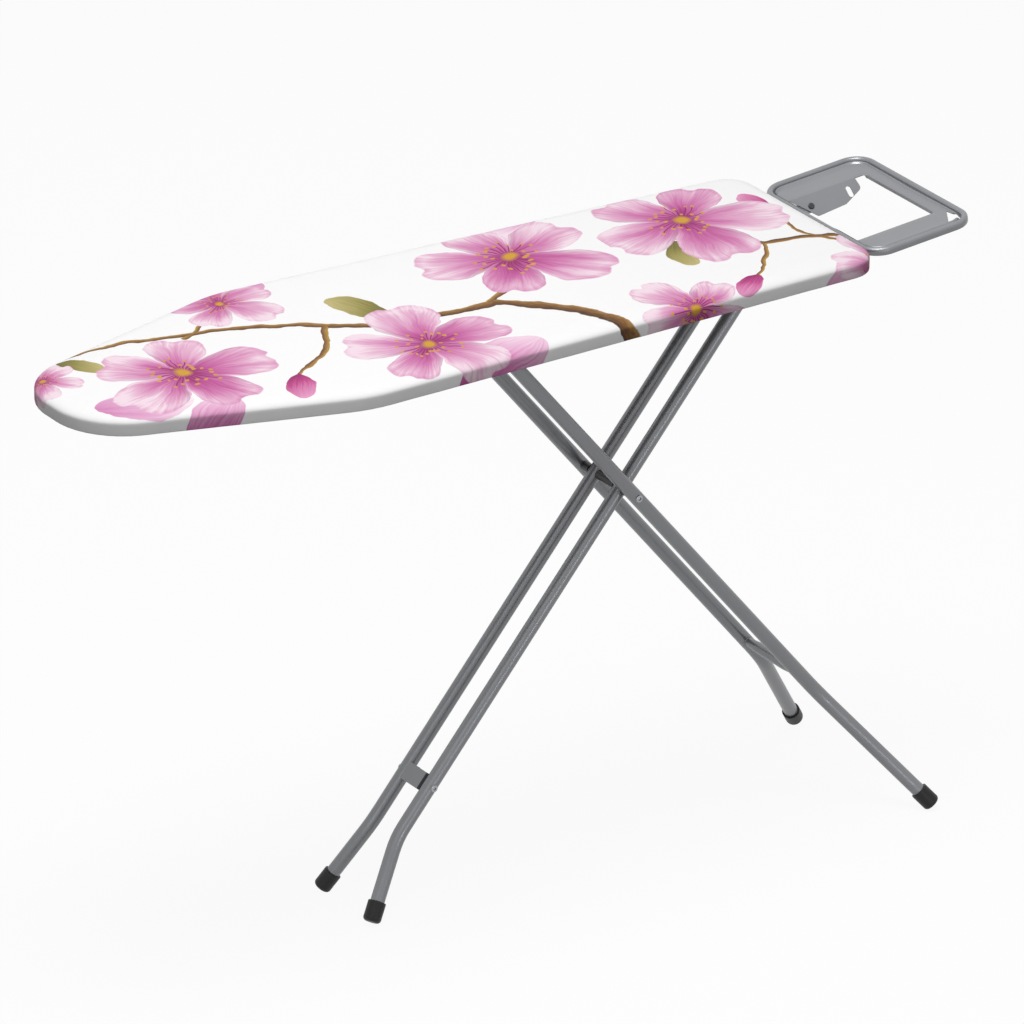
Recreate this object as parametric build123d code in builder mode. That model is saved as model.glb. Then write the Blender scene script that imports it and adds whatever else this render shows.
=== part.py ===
from build123d import *
import os
from math import atan2, cos, degrees, hypot, pi, radians, sin, sqrt

os.makedirs("parts", exist_ok=True)

# Folding ironing board, millimetres. +X runs from the nose to the iron rest, +Z is up,
# the floor is z = 0 and the origin lies on it, under the middle of the whole object.

# Board plan, measured over the cover
board_length = 1208.0
nose_width = 182.0
nose_radius = 106.0
shoulder_from_nose = 370.0
shoulder_width = 409.0
shoulder_radius = 200.0
end_width = 352.0
end_radius = 44.0
board_height = 860.0

# Board layers, from the top down
cover_sheet = 0.9
cover_edge_radius = 8.5
hem_edge_radius = 1.8
hem_width = 30.0
soft_clearance = 0.3
pad_thickness = 7.5
panel_sheet = 0.8
frame_width = 14.0
frame_height = 16.0
frame_wall = 1.2

# Diamond openings of the panel
diamond_length = 56.0
diamond_width = 22.0
diamond_web = 9.0
panel_margin = 18.0

# Scissor legs
tube_radius = 10.0
tube_wall = 1.2
crossing_from_nose = 882.0
crossing_height = 538.0
pivot_span = 468.0
pivot_drop = 14.0
leg_top_margin = 14.0
leg_bend_radius = 120.0
fold_angle = 47.0

inner_spacing = 62.0
inner_bend_height = 102.0
inner_foot_reach = 424.0
inner_foot_spacing = 128.0

outer_spacing = 134.0
outer_bend_height = 172.0
outer_foot_reach = 433.0
outer_foot_spacing = 340.0

# Foot caps
cap_radius = 12.6
cap_length = 29.0
cap_floor = 4.0
cap_rounding = 5.5
cap_rim_rounding = 0.8
cap_fit = 0.05

# Pins, rods and their fits
running_clearance = 0.05
body_gap = 0.4
rod_radius = 5.0
crossing_pin_radius = 4.0
crossing_pin_bore = 2.4
rivet_radius = 3.5
rivet_bore = 2.0
rivet_head_radius = 5.2
rivet_head_height = 1.6
spacer_wall = 3.0

# Crossbars
inner_bar_height = 167.0
inner_bar_width = 26.0
inner_bar_sheet = 2.5
inner_bar_flange = 20.0
outer_bar_height = 206.0
outer_bar_radius = 8.0
outer_bar_end_radius = 5.5
outer_bar_taper = 24.0

# Cross braces and brackets under the panel
brace_width = 34.0
brace_thickness = 2.5
bracket_sheet = 2.5
bracket_width = 36.0
bracket_flange = 22.0
bracket_below_pivot = 13.0

# Rack rails for the slide rod
rail_from_leg = 28.0
rail_sheet = 2.0
rail_flange = 18.0
rail_end_margin = 34.0
rail_below_slot = 6.0
bush_radius = 7.0
bush_flange_radius = 9.0
bush_flange_width = 2.0
bush_reach = 4.0
rod_overhang = 1.5
notch_depth = 3.5
notch_pitch = 34.0

# Height lever on the near rail
lever_from_nose = 548.0
lever_width = 40.0
lever_sheet = 3.0
lever_pin_radius = 2.5
lever_hub_radius = 5.5
lever_ear_width = 22.0
lever_axis_out = 15.0
lever_axis_rise = 10.0
blade_sheet = 2.5
blade_from_leg = 13.0
grip_from_axis = 16.0
grip_hem_gap = 1.0
grip_overhang = 4.0
grip_width = 52.0
grip_thickness = 9.0
grip_corner_radius = 7.5
grip_rounding = 2.2
spring_wire = 0.6
spring_turns = 5
spring_pitch = 2.2
spring_clearance = 1.2
spring_end_room = 1.2

# Iron rest pressed from sheet
rest_length = 174.0
rest_width = 280.0
rest_radius = 34.0
rest_gap = 9.0
rest_drop = 15.0
rest_tilt = 5.7
rest_sheet = 1.5
rest_skirt = 11.0
rim_rounding = 2.0
rest_bead = 9.0
rest_ledge = 8.0
rest_ledge_drop = 5.0
rest_shelf = 32.0
rest_flange = 57.0
rest_flange_end = 24.0
corner_gap_length = 18.0
corner_gap_width = 11.0
corner_gap_lean = 4.5
corner_gap_from_end = 26.0
tab_slope = 45.0
tab_top = 100.0
tab_height = 34.0
tab_start = 10.0
tab_shoulder_length = 78.0
tab_shoulder_height = 29.0
tab_end_height = 17.5
slot_length = 17.0
slot_width = 8.0
slot_from_end = 20.0
slot_below_fold = 15.0
tab_rounding = 7.0

# Arms that carry the rest
arm_sheet = 3.0
arm_width = 16.0
arm_below_fold = 17.0
arm_inboard = 95.0
arm_outboard = 46.0
arm_web_from_end = 46.0
arm_web_half = 104.0
arm_web_cover = 5.0
arm_corner_radius = 5.0
screw_from_start = 32.0
screw_radius = 2.5
screw_head_radius = 4.5
screw_head_height = 2.0
screw_clearance = 0.1

# Places along X
rest_reach = rest_gap + rest_length * cos(radians(rest_tilt)) + rest_skirt * sin(radians(rest_tilt))
nose_x = -(board_length + rest_reach) / 2
end_x = nose_x + board_length
shoulder_x = nose_x + shoulder_from_nose
crossing_x = nose_x + crossing_from_nose
lever_x = nose_x + lever_from_nose

# Heights of the layers
pad_top = board_height - cover_sheet - soft_clearance
panel_top = pad_top - pad_thickness - soft_clearance
frame_top = panel_top - panel_sheet
frame_bottom = frame_top - frame_height
cover_bottom = frame_bottom - soft_clearance - cover_sheet
frame_inset = cover_sheet + soft_clearance
inside_inset = frame_inset + frame_width
brace_bottom = frame_top - brace_thickness

# Scissor geometry: both upper arms are equal, so the slide rod stays at one height
pivot_z = frame_bottom - pivot_drop
arm_rise = pivot_z - crossing_height
arm_length = hypot(pivot_span / 2, arm_rise)
leg_slope = pivot_span / 2 / arm_rise
leg_angle = degrees(atan2(arm_rise, pivot_span / 2))
fixed_pivot_x = crossing_x + pivot_span / 2
slide_x = crossing_x - pivot_span / 2
folded_slide_x = fixed_pivot_x - 2 * arm_length * cos(radians(leg_angle - fold_angle))
inner_down = Vector(-pivot_span / 2, 0, -arm_rise).normalized()
outer_down = Vector(pivot_span / 2, 0, -arm_rise).normalized()


def finish(piece, name):
    piece.part.label = name
    export_step(piece.part, f"parts/{name}.step")


def across(x, y, z):
    # A plane whose normal is +Y, for pins, rods and holes across the legs
    return Plane(origin=(x, y, z), x_dir=(1, 0, 0), z_dir=(0, 1, 0))


def board_outline(inset):
    # The plan of the board: blunt nose, straight flare, tapered sides, rounded square end
    with BuildSketch() as plan:
        with BuildLine():
            Polyline(
                (nose_x, -nose_width / 2),
                (shoulder_x, -shoulder_width / 2),
                (end_x, -end_width / 2),
                (end_x, end_width / 2),
                (shoulder_x, shoulder_width / 2),
                (nose_x, nose_width / 2),
                close=True,
            )
        make_face()
        fillet(plan.vertices().group_by(Axis.X)[-1], end_radius)
        fillet(plan.vertices().group_by(Axis.X)[0], nose_radius)
        fillet(plan.vertices().sort_by(Axis.Y)[-1], shoulder_radius)
        fillet(plan.vertices().sort_by(Axis.Y)[0], shoulder_radius)
        if inset > 0:
            offset(amount=-inset, mode=Mode.REPLACE)
    return plan.sketch


def half_width(x):
    # Half width of the plan at x, on its straight flare and tapered sides
    if x < shoulder_x:
        share = (x - nose_x) / shoulder_from_nose
        return (nose_width + share * (shoulder_width - nose_width)) / 2
    share = (x - shoulder_x) / (end_x - shoulder_x)
    return (shoulder_width + share * (end_width - shoulder_width)) / 2


# Fabric cover: one sheet over the top, down the edge and in under it as a hem
with BuildPart() as cover_space:
    with BuildSketch(Plane.XY.offset(cover_bottom + cover_sheet)):
        add(board_outline(cover_sheet))
    extrude(amount=board_height - cover_bottom - 2 * cover_sheet)
    fillet(cover_space.faces().sort_by(Axis.Z)[-1].edges(), cover_edge_radius - cover_sheet)

with BuildPart() as fabric_cover:
    with BuildSketch(Plane.XY.offset(cover_bottom)):
        add(board_outline(0))
    extrude(amount=board_height - cover_bottom)
    fillet(fabric_cover.faces().sort_by(Axis.Z)[-1].edges(), cover_edge_radius)
    fillet(fabric_cover.faces().sort_by(Axis.Z)[0].edges(), hem_edge_radius)
    add(cover_space.part, mode=Mode.SUBTRACT)
    with BuildSketch(Plane.XY.offset(cover_bottom)):
        add(board_outline(hem_width))
    extrude(amount=cover_sheet, mode=Mode.SUBTRACT)
finish(fabric_cover, "fabric_cover")

# Felt pad with its rounded top edge
with BuildPart() as felt_pad:
    with BuildSketch(Plane.XY.offset(pad_top - pad_thickness)):
        add(board_outline(frame_inset))
    extrude(amount=pad_thickness)
    fillet(felt_pad.faces().sort_by(Axis.Z)[-1].edges(), cover_edge_radius - frame_inset)
finish(felt_pad, "felt_pad")

# Panel of steel sheet with staggered diamond openings
column_pitch = (diamond_length + 2 * diamond_web) / 2
row_pitch = diamond_width + diamond_web
column_count = int((board_length - 2 * (inside_inset + panel_margin) - diamond_length) / column_pitch) + 1
first_column_x = (nose_x + end_x - (column_count - 1) * column_pitch) / 2
diamond_centres = []
for column in range(column_count):
    column_x = first_column_x + column * column_pitch
    narrow_end_x = min(column_x - diamond_length / 2, shoulder_x)
    side_room = min(half_width(narrow_end_x), half_width(column_x + diamond_length / 2))
    side_room -= inside_inset + panel_margin / 2
    nose_room = column_x - diamond_length / 2 - nose_x - inside_inset
    if nose_room < nose_radius:
        nose_arc = sqrt(nose_radius**2 - (nose_radius - nose_room) ** 2)
        side_room = min(side_room, nose_width / 2 - nose_radius + nose_arc)
    stagger = row_pitch / 2 if column % 2 else 0.0
    row_count = int(2 * side_room / row_pitch) + 2
    for row in range(-row_count, row_count + 1):
        row_y = row * row_pitch + stagger
        if abs(row_y) + diamond_width / 2 <= side_room:
            diamond_centres.append((column_x, row_y))

with BuildPart() as mesh_panel:
    with BuildSketch(Plane.XY.offset(frame_top)):
        add(board_outline(frame_inset))
        with Locations(*diamond_centres):
            Polygon(
                (-diamond_length / 2, 0),
                (0, -diamond_width / 2),
                (diamond_length / 2, 0),
                (0, diamond_width / 2),
                mode=Mode.SUBTRACT,
            )
    extrude(amount=panel_sheet)
finish(mesh_panel, "mesh_panel")
print("panel openings", len(diamond_centres))

# Frame: a channel, open below, that follows the plan
with BuildPart() as board_frame:
    with BuildSketch(Plane.XY.offset(frame_bottom)):
        add(board_outline(frame_inset))
        add(board_outline(inside_inset), mode=Mode.SUBTRACT)
    extrude(amount=frame_height)
    with BuildSketch(Plane.XY.offset(frame_bottom)):
        add(board_outline(frame_inset + frame_wall))
        add(board_outline(inside_inset - frame_wall), mode=Mode.SUBTRACT)
    extrude(amount=frame_height - frame_wall, mode=Mode.SUBTRACT)
finish(board_frame, "board_frame")


# Flat braces from side to side, under the panel and between the frame's inner walls
def cross_brace(x):
    with BuildPart() as brace:
        with BuildSketch(Plane.XY.offset(brace_bottom)):
            add(board_outline(inside_inset))
            with Locations((x, 0)):
                Rectangle(brace_width, board_length, mode=Mode.INTERSECT)
        extrude(amount=brace_thickness)
    return brace


rail_start_x = folded_slide_x - rail_end_margin
rail_stop_x = slide_x + rail_end_margin
front_brace = cross_brace(rail_start_x + brace_width / 2)
finish(front_brace, "front_brace")
middle_brace = cross_brace(rail_stop_x - brace_width / 2)
finish(middle_brace, "middle_brace")
rear_brace = cross_brace(fixed_pivot_x)
finish(rear_brace, "rear_brace")

rail_y = outer_spacing / 2 + tube_radius + rail_from_leg

# Rack rails: an angle with a slot for the slide rod and height notches above it
slot_radius = bush_radius + body_gap
rail_bottom = pivot_z - slot_radius - rail_below_slot
rail_middle_x = (rail_start_x + rail_stop_x) / 2
slot_travel = slide_x - folded_slide_x
notch_count = int(slot_travel / notch_pitch) + 1
notch_centres = []
for notch in range(notch_count):
    notch_centres.append((slide_x - notch * notch_pitch - rail_middle_x, -notch_depth))

with BuildPart() as rack_rail_far:
    with BuildSketch(Plane.XY.offset(brace_bottom - rail_sheet)):
        with Locations((rail_middle_x, rail_y + rail_flange / 2)):
            Rectangle(rail_stop_x - rail_start_x, rail_flange)
    extrude(amount=rail_sheet)
    with BuildSketch(Plane.XY.offset(rail_bottom)):
        with Locations((rail_middle_x, rail_y + rail_sheet / 2)):
            Rectangle(rail_stop_x - rail_start_x, rail_sheet)
    extrude(amount=brace_bottom - rail_bottom)
    with BuildSketch(across(rail_middle_x, rail_y, pivot_z)):
        with Locations(((slide_x + folded_slide_x) / 2 - rail_middle_x, 0)):
            SlotCenterToCenter(slot_travel, 2 * slot_radius)
        with Locations(*notch_centres):
            Circle(slot_radius)
    extrude(amount=rail_sheet, mode=Mode.SUBTRACT)
finish(rack_rail_far, "rack_rail_far")

with BuildPart() as rack_rail_near:
    mirror(rack_rail_far.part, about=Plane.XZ)
finish(rack_rail_near, "rack_rail_near")

# Pivot brackets that carry the inner legs' rod under the rear brace
bracket_y = inner_spacing / 2 + tube_radius + body_gap + rivet_head_height
with BuildPart() as pivot_bracket_far:
    with BuildSketch(Plane.XY.offset(brace_bottom - bracket_sheet)):
        with Locations((fixed_pivot_x, bracket_y + bracket_flange / 2)):
            Rectangle(bracket_width, bracket_flange)
    extrude(amount=bracket_sheet)
    with BuildSketch(across(fixed_pivot_x, bracket_y, pivot_z)):
        with Locations((0, -(brace_bottom - pivot_z) / 2)):
            Rectangle(bracket_width, brace_bottom - pivot_z)
        Circle(bracket_below_pivot)
        Circle(rod_radius + running_clearance, mode=Mode.SUBTRACT)
    extrude(amount=bracket_sheet)
finish(pivot_bracket_far, "pivot_bracket_far")

with BuildPart() as pivot_bracket_near:
    mirror(pivot_bracket_far.part, about=Plane.XZ)
finish(pivot_bracket_near, "pivot_bracket_near")


# Where the lower end of a leg's cap stands, so that its lowest point just meets the floor
def foot_end(bend, reach_x, reach_y):
    end = Vector(reach_x, reach_y, cap_radius)
    for _ in range(8):
        down = (end - bend).normalized()
        level = sqrt(1 - down.Z**2)
        end = Vector(reach_x, reach_y, (cap_radius - cap_rounding) * level + cap_rounding * (1 + down.Z))
    return end


# One leg tube: straight past the crossing, then a bend that splays the foot outwards
def leg_tube(top_pivot, down, bend, end, holes):
    top = top_pivot - down * leg_top_margin
    foot_down = (end - bend).normalized()
    with BuildPart() as leg:
        with BuildLine():
            FilletPolyline(top, bend, end - foot_down * cap_floor, radius=leg_bend_radius)
        with BuildSketch(Plane(origin=top, x_dir=(0, 1, 0), z_dir=down)):
            Circle(tube_radius)
            Circle(tube_radius - tube_wall, mode=Mode.SUBTRACT)
        sweep()
        for centre, radius in holes:
            with BuildSketch(across(centre.X, centre.Y, centre.Z)):
                Circle(radius)
            extrude(amount=2 * tube_radius, both=True, mode=Mode.SUBTRACT)
    return leg


# A moulded cap over the end of a leg
def foot_cap(bend, end):
    foot_down = (end - bend).normalized()
    with BuildPart() as cap:
        with BuildSketch(Plane(origin=end, x_dir=(0, 1, 0), z_dir=-foot_down)):
            Circle(cap_radius)
        extrude(amount=cap_length)
        fillet(cap.edges().filter_by(GeomType.CIRCLE).sort_by(Axis.Z)[0], cap_rounding)
        fillet(cap.edges().filter_by(GeomType.CIRCLE).sort_by(Axis.Z)[-1], cap_rim_rounding)
        with BuildSketch(Plane(origin=end - foot_down * cap_floor, x_dir=(0, 1, 0), z_dir=-foot_down)):
            Circle(tube_radius + cap_fit)
        extrude(amount=cap_length, mode=Mode.SUBTRACT)
    return cap


def on_leg(down_x, height, y):
    # A point on a leg's straight axis; down_x is +1 for the outer legs and -1 for the inner
    return Vector(crossing_x + down_x * leg_slope * (crossing_height - height), y, height)


# Inner legs, on the fixed pivot near the square end
inner_y = inner_spacing / 2
inner_bend = on_leg(-1, inner_bend_height, inner_y)
inner_end = foot_end(inner_bend, crossing_x - inner_foot_reach, inner_foot_spacing / 2)
inner_holes = [
    (on_leg(-1, pivot_z, inner_y), rod_radius + running_clearance),
    (on_leg(-1, crossing_height, inner_y), crossing_pin_radius + running_clearance),
    (on_leg(-1, inner_bar_height, inner_y), rivet_radius + running_clearance),
]
inner_leg_far = leg_tube(on_leg(-1, pivot_z, inner_y), inner_down, inner_bend, inner_end, inner_holes)
finish(inner_leg_far, "inner_leg_far")
with BuildPart() as inner_leg_near:
    mirror(inner_leg_far.part, about=Plane.XZ)
finish(inner_leg_near, "inner_leg_near")

inner_foot_far = foot_cap(inner_bend, inner_end)
finish(inner_foot_far, "inner_foot_far")
with BuildPart() as inner_foot_near:
    mirror(inner_foot_far.part, about=Plane.XZ)
finish(inner_foot_near, "inner_foot_near")

# Outer legs, whose slide rod runs in the rack rails
outer_y = outer_spacing / 2
outer_bend = on_leg(1, outer_bend_height, outer_y)
outer_end = foot_end(outer_bend, crossing_x + outer_foot_reach, outer_foot_spacing / 2)
outer_holes = [
    (on_leg(1, pivot_z, outer_y), rod_radius + running_clearance),
    (on_leg(1, crossing_height, outer_y), crossing_pin_radius + running_clearance),
]
outer_leg_far = leg_tube(on_leg(1, pivot_z, outer_y), outer_down, outer_bend, outer_end, outer_holes)
finish(outer_leg_far, "outer_leg_far")
with BuildPart() as outer_leg_near:
    mirror(outer_leg_far.part, about=Plane.XZ)
finish(outer_leg_near, "outer_leg_near")

outer_foot_far = foot_cap(outer_bend, outer_end)
finish(outer_foot_far, "outer_foot_far")
with BuildPart() as outer_foot_near:
    mirror(outer_foot_far.part, about=Plane.XZ)
finish(outer_foot_near, "outer_foot_near")

# Pivot rod of the inner legs, with a head outside each bracket
pivot_rod_half = bracket_y + bracket_sheet + soft_clearance
with BuildPart() as pivot_rod:
    with BuildSketch(across(fixed_pivot_x, 0, pivot_z)):
        Circle(rod_radius)
    extrude(amount=pivot_rod_half + rivet_head_height, both=True)
    for side in (-1, 1):
        with BuildSketch(across(fixed_pivot_x, side * (pivot_rod_half + rivet_head_height / 2), pivot_z)):
            Circle(rod_radius + rivet_head_height)
        extrude(amount=rivet_head_height / 2, both=True)
finish(pivot_rod, "pivot_rod")

# Slide rod of the outer legs, and the bushes that carry it in the rail slots
bush_inside = rail_y - bush_reach
bush_outside = rail_y + rail_sheet + bush_reach
slide_rod_half = bush_outside + rod_overhang
with BuildPart() as slide_rod:
    with BuildSketch(across(slide_x, 0, pivot_z)):
        Circle(rod_radius)
    extrude(amount=slide_rod_half, both=True)
    chamfer(slide_rod.edges().filter_by(GeomType.CIRCLE), rod_overhang / 2)
finish(slide_rod, "slide_rod")

with BuildPart() as slide_bush_far:
    with BuildSketch(across(slide_x, bush_inside, pivot_z)):
        Circle(bush_radius)
    extrude(amount=bush_outside - bush_inside)
    with BuildSketch(across(slide_x, bush_inside, pivot_z)):
        Circle(bush_flange_radius)
    extrude(amount=bush_flange_width)
    with BuildSketch(across(slide_x, bush_inside, pivot_z)):
        Circle(rod_radius + running_clearance)
    extrude(amount=bush_outside - bush_inside, mode=Mode.SUBTRACT)
finish(slide_bush_far, "slide_bush_far")
with BuildPart() as slide_bush_near:
    mirror(slide_bush_far.part, about=Plane.XZ)
finish(slide_bush_near, "slide_bush_near")

# Crossing pin: a hollow rivet through all four tubes, headed on the outer legs
pin_half = outer_y + tube_radius
with BuildPart() as crossing_pin:
    with BuildSketch(across(crossing_x, 0, crossing_height)):
        Circle(crossing_pin_radius)
    extrude(amount=pin_half + rivet_head_height, both=True)
    for side in (-1, 1):
        with BuildSketch(across(crossing_x, side * (pin_half + rivet_head_height / 2), crossing_height)):
            Circle(rivet_head_radius)
        extrude(amount=rivet_head_height / 2, both=True)
    fillet(crossing_pin.faces().sort_by(Axis.Y)[0].edges(), rivet_head_height / 2)
    fillet(crossing_pin.faces().sort_by(Axis.Y)[-1].edges(), rivet_head_height / 2)
    with BuildSketch(across(crossing_x, 0, crossing_height)):
        Circle(crossing_pin_bore)
    extrude(amount=pin_half + rivet_head_height, both=True, mode=Mode.SUBTRACT)
finish(crossing_pin, "crossing_pin")


# A plain sleeve on the crossing pin between two heights along Y
def pin_sleeve(start_y, stop_y):
    with BuildPart() as sleeve:
        with BuildSketch(across(crossing_x, start_y, crossing_height)):
            Circle(crossing_pin_radius + running_clearance + spacer_wall)
            Circle(crossing_pin_radius + running_clearance, mode=Mode.SUBTRACT)
        extrude(amount=stop_y - start_y)
    return sleeve


side_sleeve_inside = inner_y + tube_radius + body_gap
side_sleeve_outside = outer_y - tube_radius
crossing_sleeve_far = pin_sleeve(side_sleeve_inside, side_sleeve_outside)
finish(crossing_sleeve_far, "crossing_sleeve_far")
crossing_sleeve_near = pin_sleeve(-side_sleeve_outside, -side_sleeve_inside)
finish(crossing_sleeve_near, "crossing_sleeve_near")
inner_sleeve = pin_sleeve(tube_radius - inner_y, inner_y - tube_radius)
finish(inner_sleeve, "inner_sleeve")

# Inner crossbar: a plate between the tubes with flanges turned along them
inner_bar_centre = on_leg(-1, inner_bar_height, 0)
inner_bar_plane = Plane(origin=inner_bar_centre, x_dir=(0, 1, 0), z_dir=inner_down)
inner_bar_half = inner_y - tube_radius
with BuildPart() as inner_crossbar:
    with BuildSketch(inner_bar_plane):
        with Locations((0, inner_bar_sheet / 2 - inner_bar_flange / 2)):
            Rectangle(2 * inner_bar_half, inner_bar_sheet)
        with GridLocations(2 * inner_bar_half - inner_bar_sheet, 0, 2, 1):
            Rectangle(inner_bar_sheet, inner_bar_flange)
    extrude(amount=inner_bar_width / 2, both=True)
    with BuildSketch(across(inner_bar_centre.X, 0, inner_bar_centre.Z)):
        Circle(rivet_radius + running_clearance)
    extrude(amount=inner_y, both=True, mode=Mode.SUBTRACT)
finish(inner_crossbar, "inner_crossbar")

# Hollow rivets that hold the inner crossbar, one through each tube
rivet_shank_start = inner_bar_half - inner_bar_sheet
rivet_shank_stop = inner_y + tube_radius
with BuildPart() as far_rivet:
    with BuildSketch(across(inner_bar_centre.X, rivet_shank_start, inner_bar_centre.Z)):
        Circle(rivet_radius)
    extrude(amount=rivet_shank_stop - rivet_shank_start)
    with BuildSketch(across(inner_bar_centre.X, rivet_shank_stop, inner_bar_centre.Z)):
        Circle(rivet_head_radius)
    extrude(amount=rivet_head_height)
    fillet(far_rivet.faces().sort_by(Axis.Y)[-1].edges(), rivet_head_height / 2)
    with BuildSketch(across(inner_bar_centre.X, rivet_shank_start - rivet_head_height, inner_bar_centre.Z)):
        Circle(rivet_head_radius)
    extrude(amount=rivet_head_height)
    with BuildSketch(across(inner_bar_centre.X, rivet_shank_stop + rivet_head_height, inner_bar_centre.Z)):
        Circle(rivet_bore)
    extrude(amount=-2 * tube_radius, mode=Mode.SUBTRACT)
with BuildPart() as crossbar_rivets:
    add(far_rivet.part)
    mirror(far_rivet.part, about=Plane.XZ)
finish(crossbar_rivets, "crossbar_rivets")

# Outer crossbar: a bar tapered to its welded ends, coped to the tubes
outer_bar_centre = on_leg(1, outer_bar_height, 0)
with BuildPart() as leg_space:
    with BuildSketch(Plane(origin=on_leg(1, outer_bar_height, outer_y), x_dir=(0, 1, 0), z_dir=outer_down)):
        Circle(tube_radius)
    extrude(amount=outer_bar_taper, both=True)
with BuildPart() as outer_crossbar:
    with BuildSketch(across(outer_bar_centre.X, 0, outer_bar_centre.Z)):
        Circle(outer_bar_radius)
    extrude(amount=outer_y - tube_radius - outer_bar_taper, both=True)
    with BuildSketch(across(outer_bar_centre.X, outer_y - tube_radius - outer_bar_taper, outer_bar_centre.Z)):
        Circle(outer_bar_radius)
    with BuildSketch(across(outer_bar_centre.X, outer_y, outer_bar_centre.Z)):
        Circle(outer_bar_end_radius)
    loft()
    add(leg_space.part, mode=Mode.SUBTRACT)
    split(bisect_by=Plane.XZ, keep=Keep.BOTTOM)
    mirror(about=Plane.XZ)
finish(outer_crossbar, "outer_crossbar")

# Iron rest, drawn in its own tilted plane, whose origin is the middle of its rim
tilt = radians(rest_tilt)
rest_middle = rest_gap + rest_skirt * sin(tilt) + rest_length / 2 * cos(tilt)
rest_plane = Plane(
    origin=(end_x + rest_middle, 0, board_height - rest_drop + rest_length / 2 * sin(tilt)),
    x_dir=(cos(tilt), 0, sin(tilt)),
    z_dir=(-sin(tilt), 0, cos(tilt)),
)
rest_up = Axis(rest_plane.origin, rest_plane.z_dir)
ledge_level = -rest_ledge_drop - rest_sheet
fold_y = rest_width / 2 - rest_flange
flange_start = -rest_length / 2 + rest_bead - rest_sheet
flange_stop = rest_length / 2 - rest_flange_end
tab_origin_x = -rest_length / 2 + tab_start
slope = radians(tab_slope)
tab_plane = Plane(
    origin=rest_plane.from_local_coords(Vector(tab_origin_x, fold_y, -rest_ledge_drop)),
    x_dir=rest_plane.x_dir,
    z_dir=rest_plane.z_dir * -cos(slope) + Vector(0, sin(slope), 0),
)


def rim_band(level, outside, inside):
    # A band of the rim between two insets from its outline
    with BuildSketch(rest_plane.offset(level)) as band:
        RectangleRounded(rest_length - 2 * outside, rest_width - 2 * outside, rest_radius - outside)
        RectangleRounded(
            rest_length - 2 * inside, rest_width - 2 * inside, rest_radius - inside, mode=Mode.SUBTRACT
        )
    return band.sketch


# The far side of the pressing: flange, then a sloping tab with a screw hole and a slot
with BuildPart() as rest_side:
    with BuildSketch(rest_plane.offset(ledge_level)):
        RectangleRounded(
            rest_length - 2 * (rest_bead - rest_sheet),
            rest_width - 2 * (rest_bead - rest_sheet),
            rest_radius - rest_bead + rest_sheet,
        )
        with Locations(((flange_start + flange_stop) / 2, rest_width / 2 - rest_flange / 2)):
            Rectangle(flange_stop - flange_start, rest_flange, mode=Mode.INTERSECT)
    extrude(amount=rest_sheet)
    with BuildSketch(tab_plane) as tab_face:
        with BuildLine():
            Polyline(
                (0, 0),
                (tab_height, tab_height),
                (tab_shoulder_length, tab_shoulder_height),
                (tab_top, tab_end_height),
                (tab_top, 0),
                close=True,
            )
        make_face()
        fillet(tab_face.vertices().sort_by(Axis.Y)[2:], tab_rounding)
        with Locations((tab_top - slot_from_end, slot_below_fold)):
            SlotOverall(slot_length, slot_width, rotation=90, mode=Mode.SUBTRACT)
        with Locations((screw_from_start, arm_below_fold)):
            Circle(screw_radius + screw_clearance, mode=Mode.SUBTRACT)
    extrude(amount=rest_sheet)

# The whole pressing: rolled rim, stepped ledge, shelf at the outer end, both sides, corner gaps
gap_end_x = rest_length / 2 - corner_gap_from_end
gap_side_y = rest_width / 2 - rest_bead
with BuildPart() as iron_rest:
    extrude(rim_band(-rest_skirt, 0, rest_sheet), amount=rest_skirt)
    extrude(rim_band(-rest_sheet, 0, rest_bead), amount=rest_sheet)
    extrude(rim_band(ledge_level, rest_bead - rest_sheet, rest_bead), amount=rest_ledge_drop + rest_sheet)
    extrude(rim_band(ledge_level, rest_bead - rest_sheet, rest_bead + rest_ledge), amount=rest_sheet)
    fillet(iron_rest.faces().sort_by(rest_up)[-1].edges(), rim_rounding)
    with BuildSketch(rest_plane.offset(ledge_level)):
        RectangleRounded(
            rest_length - 2 * (rest_bead - rest_sheet),
            rest_width - 2 * (rest_bead - rest_sheet),
            rest_radius - rest_bead + rest_sheet,
        )
        with Locations((rest_length / 2 - rest_shelf / 2, 0)):
            Rectangle(rest_shelf, rest_width, mode=Mode.INTERSECT)
    extrude(amount=rest_sheet)
    add(rest_side.part)
    mirror(rest_side.part, about=Plane.XZ)
    with BuildSketch(rest_plane.offset(ledge_level)):
        with BuildLine():
            Polyline(
                (gap_end_x, gap_side_y),
                (gap_end_x - corner_gap_length, gap_side_y),
                (gap_end_x - corner_gap_lean, gap_side_y - corner_gap_width),
                close=True,
            )
        make_face()
        mirror(about=Plane.XZ)
    extrude(amount=rest_sheet, mode=Mode.SUBTRACT)
finish(iron_rest, "iron_rest")

# Flat arms under the tabs, run back below the board's end
arm_middle = (arm_outboard - arm_inboard) / 2
with BuildPart() as rest_arm_far:
    with BuildSketch(tab_plane.offset(rest_sheet)) as arm_face:
        with Locations((arm_middle, arm_below_fold)):
            Rectangle(arm_outboard + arm_inboard, arm_width)
        fillet(arm_face.vertices().group_by(Axis.X)[-1], arm_corner_radius)
        with Locations((screw_from_start, arm_below_fold)):
            Circle(screw_radius + screw_clearance, mode=Mode.SUBTRACT)
    extrude(amount=arm_sheet)
finish(rest_arm_far, "rest_arm_far")
with BuildPart() as rest_arm_near:
    mirror(rest_arm_far.part, about=Plane.XZ)
finish(rest_arm_near, "rest_arm_near")

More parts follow.
